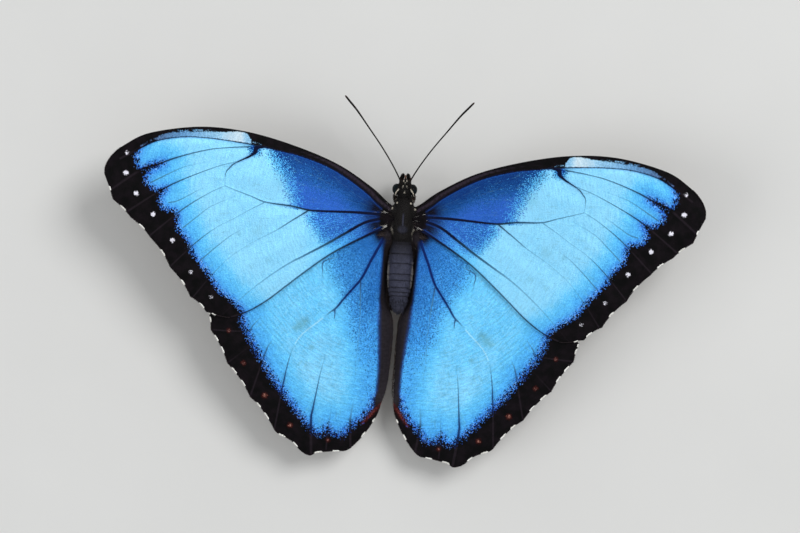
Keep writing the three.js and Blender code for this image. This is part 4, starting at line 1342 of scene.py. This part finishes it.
def tuft_mesh(name, roots, along, normals, length, width, places, fields,
              profile=HAIR, thickness=1.0, droop=0.25):
    """Solid tufts: each a three-sided blade that bends towards the skin. Body-frame millimetres."""
    count = len(roots)
    length, width = np.broadcast_to(length, count), np.broadcast_to(width, count)
    along = unit(along)
    side = unit(np.cross(along, normals))
    up = np.cross(side, along)
    corners = []
    for share, wide in ((-0.04, profile[0]), (0.5, profile[1])):
        centre = roots + along * (length * share)[:, None] - up * (droop * length * share ** 2)[:, None]
        for turn in (math.radians(90), math.radians(210), math.radians(330)):
            reach = side * math.cos(turn) + up * math.sin(turn) * thickness
            corners.append(centre + reach * (0.5 * wide * width)[:, None])
    corners.append(roots + along * length[:, None] - up * (droop * length)[:, None])
    points = np.stack(corners, 1).reshape(-1, 3)
    triangles = (TUFT_FACES + TUFT_POINTS * np.arange(count)[:, None, None]).reshape(-1, 3)
    world = put(points)
    tuft = world[:TUFT_POINTS]
    first = outward(tuft - tuft.mean(0), TUFT_FACES)
    if (first[0] != TUFT_FACES[0]).any():
        triangles = triangles[:, ::-1]
    mesh = new_mesh(name, world, triangles)
    store(mesh, {key: np.repeat(value, TUFT_POINTS, axis=0) for key, value in fields.items()})
    store(mesh, {"tip": np.tile([0, 0, 0, 0.5, 0.5, 0.5, 1.0], count)})
    spots = (np.asarray(places)[:, None] + PATCH_PLACES * TUFT_PATCH).reshape(-1, 2)
    bake_map(mesh, spots[corner_points(mesh)])
    return mesh


class Pelt:
    """The skin's triangles, from which tufts take their roots, normals and places on the unwrap."""

    def __init__(self, obj):
        mesh = obj.data
        mesh.calc_loop_triangles()
        loops = read(mesh.loop_triangles, "loops", 3, np.int32)
        corners = corner_points(mesh)[loops]
        self.corners = body_frame(read(mesh.vertices, "co", 3))[corners]
        self.places = read(mesh.uv_layers["OFBake"].data, "uv", 2)[loops]
        self.normals = (read(mesh.vertices, "normal", 3) * (1, -1, 1))[corners]
        sides = self.corners[:, 1:] - self.corners[:, :1]
        self.areas = 0.5 * np.linalg.norm(np.cross(sides[:, 0], sides[:, 1]), axis=1)
        self.middles = self.corners.mean(1)

    def sample(self, rng, count, weight):
        """Random roots over the skin, spread by area and weight(middles)."""
        chance = self.areas * weight(self.middles)
        picks = rng.choice(len(chance), count, p=chance / chance.sum())
        shares = np.sort(rng.random((count, 2)), axis=1)
        shares = np.stack([shares[:, 0], shares[:, 1] - shares[:, 0], 1 - shares[:, 1]], 1)[:, :, None]
        return ((self.corners[picks] * shares).sum(1), unit((self.normals[picks] * shares).sum(1)),
                (self.places[picks] * shares).sum(1))


def nearest_heading(points, paths):
    """The direction of the nearest stretch of some paths."""
    best = np.full(len(points), np.inf)
    heading = np.zeros((len(points), 3))
    for path in paths:
        for start, end in zip(path[:-1], path[1:]):
            step = end - start
            t = np.clip((points - start) @ step / (step @ step), 0, 1)
            gap = np.linalg.norm(points - start - t[:, None] * step, axis=1)
            nearer = gap < best
            best = np.where(nearer, gap, best)
            heading[nearer] = unit(step)
    return heading


pelt = Pelt(skin)
coat_finish = coat_material()


def is_leg(p):
    return (p[:, 2] < 5.2) | (np.abs(p[:, 0]) > 2.9)


def is_palp(p):
    _, fore, up = p.T
    return (fore > 11.35) | ((fore > 9.7) & (up < 6.75) & (up > 5.6))


def is_shin(p):
    return (p[:, 2] < 4.6) & (np.abs(p[:, 0]) > 3) & (p[:, 2] > 0.18)


def is_torso(first, last):
    """The torso between two fore limits."""
    return lambda p: (p[:, 1] > first) & (p[:, 1] < last) & ~is_leg(p) & ~is_palp(p)


def lie_back(p):
    """Hair lies towards the tail, and down and out over the flanks."""
    side = np.sign(p[:, 0]) * ease(np.abs(p[:, 0]), 0.6, 2.2)
    return np.stack([0.35 * side, np.full(len(p), -1.0), -0.45 * np.abs(side)], 1)


def lie_head(p):
    """The face's scales lie down, the crown's stand forward and up, and the rest lie back."""
    crown = ease(p[:, 2], 9.3, 9.9)[:, None] * ease(p[:, 1], 8.6, 9.4)[:, None]
    face = ease(p[:, 1], 10.2, 10.9)[:, None] * (1 - crown)
    collar = ease(p[:, 1], 8.3, 7.7)[:, None] * ease(np.abs(p[:, 0]), 0.3, 0.9)[:, None]
    aside = np.stack([np.sign(p[:, 0]), np.full(len(p), -0.7), np.zeros(len(p))], 1)
    heading = mix(lie_back(p), np.array((0, 0.7, 0.9)), crown)
    heading = mix(heading, aside, collar)
    return mix(heading, np.array((0, 0.1, -1.0)), face)


def lie_tail(p):
    """The last scales stand straight back, which blunts the abdomen's end."""
    behind = ease(-p[:, 1], 13.6, 15.2)[:, None]
    straight = np.stack([0.12 * np.sign(p[:, 0]), np.full(len(p), -1.0), 0 * p[:, 0]], 1)
    return mix(lie_back(p), straight, behind)


def lie_on_legs(p):
    return nearest_heading(p, [leg_path(pair, side)[:, :3] for side in SIDES for pair in LEGS])


def lie_on_palps(p):
    return nearest_heading(p, [mirrored(PALP, side)[:, :3] for side in SIDES])


def collar_reach(p):
    """How far a place belongs to the collar, whose hair stands out to the sides."""
    return ease(p[:, 1], 8.3, 7.8) * ease(p[:, 1], 6.4, 7.0) * ease(np.abs(p[:, 0]), 0.6, 1.1)


def stance(p, lift):
    """How far the hair stands from the skin, most at the collar and over the abdomen's flanks."""
    flank = ease(np.abs(p[:, 0]), 1.7, 2.3) * ease(-p[:, 1], 2.5, 5) * ease(-p[:, 1], 14.5, 13)
    return (lift + 1.3 * collar_reach(p) + 0.5 * flank)[:, None]


def coat_piece(name, seed, count, weight, heading, lift, length, width, **shape):
    """A coat over part of the skin: where, how it lies, how far it stands, and how long it is."""
    rng = np.random.default_rng(seed)
    roots, normals, places = pelt.sample(rng, count, weight)
    raw = heading(roots)
    flat = unit(raw - normals * np.sum(raw * normals, 1, keepdims=True) + 1e-6)
    jitter = rng.normal(0, 0.18, (count, 3))
    along = unit(flat + jitter + normals * (stance(roots, lift) + rng.normal(0, 0.06, (count, 1))))
    lengths = (length(roots) if callable(length) else length) * rng.uniform(0.7, 1.15, count)
    # hair that would reach the floor is kept short
    reaches_floor = roots[:, 2] + lengths * np.minimum(along[:, 2], 0) < FLOOR_CLEAR
    lengths = np.where(reaches_floor, 0.12 * lengths, lengths)
    fields = {**markings(roots), "body": roots, "tone": rng.random(count)}
    mesh = tuft_mesh(name, roots, along, normals, lengths, width * rng.uniform(0.8, 1.2, count),
                     places, fields, **shape)
    finish_piece(new_object(name, mesh, coat_finish))


def thorax_length(p):
    flank = ease(np.abs(p[:, 0]), 1.1, 2.2)
    under = ease(p[:, 2], 8.6, 6.6)
    pale = markings(p)["pale"]
    length = (0.2 + 0.5 * flank + 0.5 * under) * (1 - 0.4 * pale)
    return mix(length, 0.42 + 0.12 * (pale > 0.5), collar_reach(p))


def head_length(p):
    crown = ease(p[:, 2], 9.4, 10.0)
    eye = ease(eye_reach(p), 1.35, 1.15)
    length = (0.32 + 0.24 * crown) * (1 - 0.55 * eye)
    return mix(length, 0.48 + 0.14 * (markings(p)["pale"] > 0.5), collar_reach(p))


def abdomen_length(p):
    tail = ease(-p[:, 1], 13.4, 14.8)
    flank = ease(np.abs(p[:, 0]), 1.5, 2.1)
    return 0.28 + 0.32 * flank + tail * mix(0.5, 1.1, ease(np.abs(p[:, 0]), 0.5, 1.1))


def leg_length(p):
    return 0.16 + 0.1 * ease(p[:, 2], 1.0, 4.5)


def orbit_hair(seed):
    """The pale line behind each eye, hair after hair along its path."""
    rng = np.random.default_rng(seed)
    path = even(curve(ORBIT_LINE), 0.035)
    count = len(path)
    for side, sign in SIDES.items():
        roots = mirrored(path + rng.normal(0, 0.022, (count, 3)), side)
        nearest = np.argmin(np.linalg.norm(pelt.middles - roots[:, None], axis=2), axis=1)
        fields = {key: 0 * value for key, value in markings(roots).items()}
        fields.update(pale=np.ones(count), body=roots, tone=rng.random(count))
        along = mirrored(unit(np.gradient(path, axis=0)), side) + (0, -0.7, 0)
        along = along + rng.normal(0, 0.08, (count, 3))
        mesh = tuft_mesh(f"rim_{side}", roots, along, np.tile((0.3 * sign, 0, 1), (count, 1)),
                         rng.uniform(0.25, 0.42, count), 0.07, pelt.places[nearest].mean(1), fields)
        finish_piece(new_object(f"rim_{side}", mesh, coat_finish))


def is_dark_collar(p):
    return collar_reach(p) * (markings(p)["pale"] < 0.1)


coat_piece("coat_thorax", 11, 19000, is_torso(-2.4, 7.3), lie_back, 0.25, thorax_length, 0.05)
coat_piece("coat_head", 12, 9000, is_torso(7.3, 11.4), lie_head, 0.45, head_length, 0.055)
coat_piece("coat_abdomen", 13, 16000, is_torso(-17.4, -2.2), lie_tail, 0.14, abdomen_length, 0.12,
           profile=SCALE, thickness=0.3)
orbit_hair(17)
coat_piece("coat_collar", 18, 1500, is_dark_collar, lie_head, 0.0, 0.58, 0.055)
coat_piece("coat_palps", 14, 3600, is_palp, lie_on_palps, 0.4, 0.34, 0.05)
coat_piece("coat_legs", 15, 13000, is_leg, lie_on_legs, 0.12, leg_length, 0.07,
           profile=SCALE, thickness=0.3, droop=0.1)
coat_piece("leg_spines", 16, 520, is_shin, lie_on_legs, 0.5, 0.32, 0.04, droop=0.0)

# ---------------------------------------------------------------- eyes, antennae, tongue, claws


def eye_material():
    t = Tree("eye")
    place = t.vector("body")
    facets = t.cells(place, 14.0)[3]
    # painted reflection: cloudy teal patches over the eye's own near-black
    colour = t.mix(t.noise(place, 1.1, 3.0).ease(0.35, 0.7), (5, 5, 7), (12, 30, 36))
    return t.shader(t.mix(facets * 0.7, colour, (3, 3, 4)), 0.25, t.bump(1.0 - facets, 0.012),
                    {SPECULAR: 0.05, "Coat Weight": 0.03, "Coat Roughness": 0.08})


def horn_material(name, clouds, dark, light, grain, roughness, specular, extra=()):
    """A hard part's cloudy colour, and further colours where numbers stored on its points say so."""
    t = Tree(name)
    place = t.vector("body")
    colour = t.mix(t.noise(place, clouds, 3.0), dark, light)
    for key, share, over in extra:
        colour = t.mix(t[key] * share, colour, over)
    return t.shader(colour, roughness, t.bump(t.noise(place, grain[0]), grain[1]), {SPECULAR: specular})


def antenna_material():
    return horn_material("antenna", 2.0, (5, 4, 5), (13, 11, 11), (18.0, 0.01), 0.6, 0.12,
                         (("joint", 0.3, (50, 42, 38)), ("end", 1.0, (60, 38, 26))))


def tongue_material():
    return horn_material("tongue", 2.5, (104, 62, 34), (74, 42, 24), (22.0, 0.012), 0.4, 0.4)


def claw_material():
    return horn_material("claw", 4.0, (30, 20, 14), (70, 46, 30), (20.0, 0.008), 0.3, 0.5)


def hard_piece(name, parts, material, nodes=(), fields=None):
    points, triangles = joined(parts)
    mesh = new_mesh(name, points, triangles)
    store(mesh, {"body": body_frame(points), **(fields or {})})
    finish_piece(new_object(name, mesh, material), nodes)


ANTENNA_JOINTS = 42
ANTENNA_RADII = (0.2, 0.16, 0.15, 0.15, 0.15, 0.15, 0.155, 0.17, 0.2, 0.23, 0.21)   # root to tip
ANTENNA_SIDES = 12


def antenna_rows(side):
    """The feeler's path, with a bead at each of its small joints and a slim club at its end."""
    rows = smooth_rows(mirrored(ANTENNA, side), 8 * ANTENNA_JOINTS)
    along = measured(rows[:, :3])
    share = along / along[-1]
    radius = np.where(share < 0.03, 0.27, keyed(share, ANTENNA_RADII))
    joint = (0.5 + 0.5 * np.cos(2 * math.pi * ANTENNA_JOINTS * share)) ** 3
    rows[:, 3] = radius * (1 - 0.07 * joint) * np.sqrt(np.clip((1.004 - share) / 0.02, 0.05, 1))
    return rows, joint, ease(share, 0.97, 1.0)


PROBOSCIS_ROOT = np.array((0, 9.7, 6.6))
PROBOSCIS_FORE, PROBOSCIS_UP = 11.2, 5.35
PROBOSCIS_TURNS = 2.6
PROBOSCIS_RINGS = 70


def proboscis_parts():
    """The tongue, coiled like a watch spring: two tubes side by side with a seam between."""
    t = np.linspace(0, 1, 220)
    reach = mix(1.38, 0.34, t)
    angle = math.pi * (1.1 - 2 * PROBOSCIS_TURNS * t)
    coil = np.stack([0 * t, PROBOSCIS_FORE + reach * np.cos(angle), PROBOSCIS_UP + reach * np.sin(angle)], 1)
    stem = mix(PROBOSCIS_ROOT, coil[0], np.linspace(0, 1, 12)[:-1, None])
    path = np.concatenate([stem, coil])
    share = np.linspace(0, 1, len(path))
    ring = 0.5 + 0.5 * np.cos(2 * math.pi * PROBOSCIS_RINGS * share)
    radius = mix(0.15, 0.07, share) * (1 - 0.07 * ring)
    return [tube(path + (0.09 * sign, 0, 0), radius, 12) for sign in (1, -1)]


def claw_parts(pair, side):
    """Two hooked claws at the end of a foot."""
    path = leg_path(pair, side)
    toe, before = path[-1, :3], path[-2, :3]
    ahead = unit(toe - before)
    across = np.array((-ahead[1], ahead[0], 0))
    t = np.linspace(0, 1, 10)[:, None]
    parts = []
    for turn in (1, -1):
        line = toe + ahead * (0.12 + 0.42 * t) + across * turn * (0.07 + 0.16 * t)
        line = line + np.array((0, 0, 1)) * (0.05 + 0.16 * np.sin(np.pi * 0.9 * t) - 0.14 * t)
        line[:, 2] = np.maximum(line[:, 2], 0.09)
        parts.append(tube(line, mix(0.07, 0.012, t[:, 0]), 8))
    return parts


eye_finish, antenna_finish, claw_finish = eye_material(), antenna_material(), claw_material()
for side in SIDES:
    eye = ball(mirrored(EYE_CENTRE, side), EYE_RADII, 48, 64)
    hard_piece(f"eye_{side}_faceted", [eye], eye_finish, [f"eye_{side}"])
    rows, joint, end = antenna_rows(side)
    fields = {key: np.append(np.repeat(value, ANTENNA_SIDES), [0, value[-1]])
              for key, value in (("joint", joint), ("end", end))}
    hard_piece(f"antenna_{side}_jointed", [tube(rows[:, :3], rows[:, 3], ANTENNA_SIDES)], antenna_finish,
               [f"antenna_{side}"], fields)
    for pair in ("mid", "hind"):
        hard_piece(f"claws_{pair}_{side}", claw_parts(pair, side), claw_finish)
hard_piece("proboscis_coiled", proboscis_parts(), tongue_material(), ["proboscis"])

# ---------------------------------------------------------------- fringe and hair on the wings


def wing_hair_material():
    t = Tree("wing_hair")
    place = t.vector("body")
    dark = t.mix(t.noise(place, 1.0, 3.0), (22, 17, 20), (40, 31, 34))
    colour = t.mix(t["pale"], dark, (244, 242, 236))
    colour = t.mix(t["tan"], colour, t.mix(t.noise(place, 2.0), (56, 46, 45), (96, 86, 82)))
    colour = t.mix(1.0, colour, t["tone"] * 0.5 + 0.75, "MULTIPLY")
    return t.shader(colour, 0.65, t.bump(t.noise(place, 20.0), 0.008), {SPECULAR: 0.15})


wing_hair_finish = wing_hair_material()


def wing_tufts(name, wing, side, flat, heading, lift, length, width, tone, pale=0.0, tan=0.0, top=True,
               slot="body_hair", **shape):
    """Tufts rooted on a wing's top or underside at flat places, lying along flat headings."""
    count = len(flat)
    face = np.where(top, 1.0, -1.0) * np.ones(count)
    roots, normals = wing.placed(flat, side, 0.1 * face)
    ahead, _ = wing.placed(flat + unit(heading) * 0.1, side, 0.1 * face)
    normals = normals * face[:, None]
    along = unit(unit(ahead - roots) + normals * lift[:, None])
    roots, along, normals = (mirrored(rows, side) for rows in (roots, along, normals))
    fields = {"pale": pale * np.ones(count), "tan": tan * np.ones(count), "tone": tone, "body": roots}
    mesh = tuft_mesh(name, roots, along, normals, length, width, wing.map_place(flat, top), fields, **shape)
    finish_piece(new_object(name, mesh, wing_hair_finish))


def fringe(label, side, line, dash_marks, seed):
    """Scales along the margin: long and white in the bays, short and black at the veins."""
    rng = np.random.default_rng(seed)
    wing = WINGS[label]
    line = even(line, 0.06)
    turned = unit(np.gradient(line, axis=0)[:, ::-1] * (1, -1))
    turned[depth_in(line + turned * 0.1, wing.outline) > 0] *= -1
    white = ease(nearest_dot(line, dash_marks), -0.12, 0.1)
    count = len(line)
    length = (0.24 + 0.08 * white) * rng.uniform(0.8, 1.15, count)
    heading = turned + rng.normal(0, 0.14, (count, 2))
    tone = rng.random(count)
    lift = rng.normal(-0.15, 0.12, count)
    wing_tufts(f"fringe_{label}_{side}", wing, side, line - turned * 0.1, heading, lift, length, 0.11, tone,
               pale=white, slot="wing_fringe", profile=SCALE, thickness=0.35, droop=0.05)


def base_hair(label, side, seed, count):
    """Fine hair that spreads from a wing's root over both its faces."""
    rng = np.random.default_rng(seed)
    wing = WINGS[label]
    reach = 1.2 + 6.5 * rng.random(count) ** 1.7
    turn = rng.uniform(-math.pi, math.pi, count)
    spread = np.stack([np.cos(turn), np.sin(turn)], 1)
    flat = np.array(wing.root) + spread * reach[:, None]
    keep = depth_in(flat, wing.outline) > 0.1
    flat, spread, reach = flat[keep], spread[keep], reach[keep]
    count = len(flat)
    top = rng.random(count) < 0.5
    pale = 0.5 * (rng.random(count) < 0.07)
    tan = 0.9 * (rng.random(count) < 0.25)
    tone = rng.random(count)
    heading = spread + rng.normal(0, 0.12, (count, 2))
    lift = rng.uniform(0.1, 0.35, count)
    length = rng.uniform(0.9, 1.8, count) * mix(1, 0.6, reach / 8)
    wing_tufts(f"hair_{label}_{side}", wing, side, flat, heading, lift, length, 0.05, tone, pale, tan, top)


SHOULDERS = (   # wing, centre, spread, heading, count, length, width, pale, tan
    ("forewing", (3.7, 4.1), (0.7, 0.45), (1, 0.05), 14, 1.2, 0.12, 1.0, 0.0),
    ("forewing", (3.5, 0.8), (0.5, 0.7), (1, -0.35), 16, 1.0, 0.12, 0.9, 0.0),
    ("hindwing", (3.6, -0.6), (0.8, 0.5), (1, -0.2), 110, 1.7, 0.06, 0.0, 0.8))


def shoulder_hair(side, seed):
    """Bundles at the wing roots: short pale strokes on the forewing and longer brown hair behind."""
    rng = np.random.default_rng(seed)
    for number, (label, centre, spread, ahead, count, length, width, pale, tan) in enumerate(SHOULDERS):
        flat = np.array(centre) + rng.normal(0, 0.5, (count, 2)) * spread
        flat = flat[depth_in(flat, WINGS[label].outline) > 0.1]
        count = len(flat)
        shade = rng.uniform(0.5, 1, count)
        tone = rng.random(count)
        heading = ahead + rng.normal(0, 0.16, (count, 2))
        lift = rng.uniform(0.05, 0.3, count)
        lengths = length * rng.uniform(0.6, 1.2, count)
        wing_tufts(f"shoulder_{number}_{side}", WINGS[label], side, flat, heading, lift, lengths, width,
                   tone, pale * shade, tan)


def fold_hair(side, seed, count):
    """Long soft hair on the hindwing's inner fold, lying towards the tail."""
    rng = np.random.default_rng(seed)
    wing = WINGS["hindwing"]
    flat = np.stack([rng.uniform(-0.4, 4.4, count), rng.uniform(-36.5, -1.5, count)], 1)
    edge = out_at(np.array(HINDWING_INNER_EDGE)[::-1], flat[:, 1])
    flat = flat[(depth_in(flat, wing.outline) > 0.25) & (flat[:, 0] < edge - 0.15)]
    count = len(flat)
    heading = np.stack([rng.normal(-0.1, 0.12, count), np.full(count, -1.0)], 1)
    tan = rng.uniform(0.0, 0.8, count)
    tone = rng.random(count)
    lift = rng.uniform(0.03, 0.2, count)
    length = rng.uniform(0.9, 1.9, count)
    wing_tufts(f"hair_fold_{side}", wing, side, flat, heading, lift, length, 0.055, tone, tan=tan)


def inner_hair(side, seed, count):
    """Dark hair from the fold's lower edge in under the abdomen, where the floor would show."""
    rng = np.random.default_rng(seed)
    wing = WINGS["hindwing"]
    fore = rng.uniform(-16.6, -2.2, count)
    edge = out_at(HINDWING_INNER_MARGIN, fore)
    flat = np.stack([edge + rng.uniform(0.12, 0.6, count), fore], 1)
    flat = flat[depth_in(flat, wing.outline) > 0.08]
    count = len(flat)
    heading = np.stack([np.full(count, -1.0), rng.normal(-0.35, 0.15, count)], 1)
    tan = rng.uniform(0.0, 0.5, count)
    tone = rng.random(count)
    lift = rng.uniform(0.0, 0.12, count)
    length = rng.uniform(0.9, 1.5, count)
    wing_tufts(f"hair_inner_{side}", wing, side, flat, heading, lift, length, 0.1, tone, tan=tan)


for number, side in enumerate(SIDES):
    fringe("forewing", side, FOREWING_FRINGE, FOREWING_DASHES, 30 + number)
    fringe("hindwing", side, HINDWING_FRINGE, HINDWING_DASHES, 40 + number)
    base_hair("forewing", side, 50 + number, 1500)
    base_hair("hindwing", side, 60 + number, 1200)
    fold_hair(side, 70 + number, 5200)
    inner_hair(side, 90 + number, 2600)
    shoulder_hair(side, 80 + number)

# ---------------------------------------------------------------- camera, light and floor

VIEW_HEIGHT = 14           # height in mm at which the picture's scale holds
VIEW_WIDTH = 170.8         # mm across the picture at that height
CAMERA_DISTANCE = 600
TURN = math.radians(3.2)   # the butterfly shows turned clockwise
AIM = (0.1, -7.37)         # the (out, fore) at the middle of the picture
SENSOR = 36
SKY = (0.96, 0.98, 1, 1)
BACKDROP = (0.8, 0.8, 0.79, 1)
FLOOR_REACH = 1.5


def camera_above():
    camera = bpy.data.cameras.new("camera")
    camera.sensor_width = SENSOR
    camera.lens = SENSOR * CAMERA_DISTANCE / VIEW_WIDTH
    camera.clip_start = 0.01
    obj = linked("camera", camera)
    obj.location = put((*AIM, VIEW_HEIGHT + CAMERA_DISTANCE))
    obj.rotation_euler = (0, 0, math.pi + TURN)
    return obj


def area_light(name, place, size, power):
    """A round lamp that points at the butterfly."""
    lamp = bpy.data.lights.new(name, "AREA")
    lamp.shape = "DISK"
    lamp.size = size
    lamp.energy = power
    obj = linked(name, lamp)
    obj.location = place
    obj.rotation_euler = (-Vector(place)).to_track_quat("-Z", "Y").to_euler()


def background_rays(t):
    """1 for rays from the camera and for those that show the background in gloss or glass."""
    camera, glossy, through = (t.node("ShaderNodeLightPath", {}, f"Is {kind} Ray")
                               for kind in ("Camera", "Glossy", "Transmission"))
    return t.math("MAXIMUM", camera, t.math("MAXIMUM", glossy, through))


def blend(t, share, first, second, output):
    """A mix of two shaders as the whole result."""
    t.new(output, {"Surface": t.node("ShaderNodeMixShader", {0: share, 1: first, 2: second})})


def pale_world():
    """Soft light from all round, and a pale background where the camera sees past the floor."""
    world = bpy.data.worlds.new("world")
    bpy.context.scene.world = world
    t = Tree("world", world)
    blend(t, background_rays(t), t.node("ShaderNodeBackground", {"Color": SKY, "Strength": 0.45}),
          t.node("ShaderNodeBackground", {"Color": BACKDROP, "Strength": 1.0}), "ShaderNodeOutputWorld")


def floor():
    """A pale floor that fades into the backdrop far from the butterfly."""
    t = Tree("floor")
    place = t.node("ShaderNodeNewGeometry", {}, "Position")
    colour = t.mix(t.noise(place, 30.0, 3.0), (216, 216, 214), (222, 222, 220))
    ground = t.node("ShaderNodeBsdfPrincipled", {"Base Color": colour, "Roughness": 0.8})
    length = t.node("ShaderNodeVectorMath", {0: place}, "Value", operation="LENGTH")
    backdrop = t.node("ShaderNodeEmission", {"Color": BACKDROP, "Strength": 1.0})
    blend(t, length.ease(0.2, 1.1) * background_rays(t), ground, backdrop, "ShaderNodeOutputMaterial")
    mesh = bpy.data.meshes.new("floor")
    corners = [(x * FLOOR_REACH, y * FLOOR_REACH, 0) for x, y in ((-1, -1), (1, -1), (1, 1), (-1, 1))]
    mesh.from_pydata(corners, [], [(0, 1, 2, 3)])
    new_object("floor", mesh, t.owner)


bpy.context.scene.camera = camera_above()
area_light("key", (-0.55, -0.5, 0.95), 0.6, 7.7)
area_light("fill", (0.8, 0.3, 0.7), 0.8, 3.1)
pale_world()
floor()

bpy.context.scene.view_settings.view_transform = "Standard"
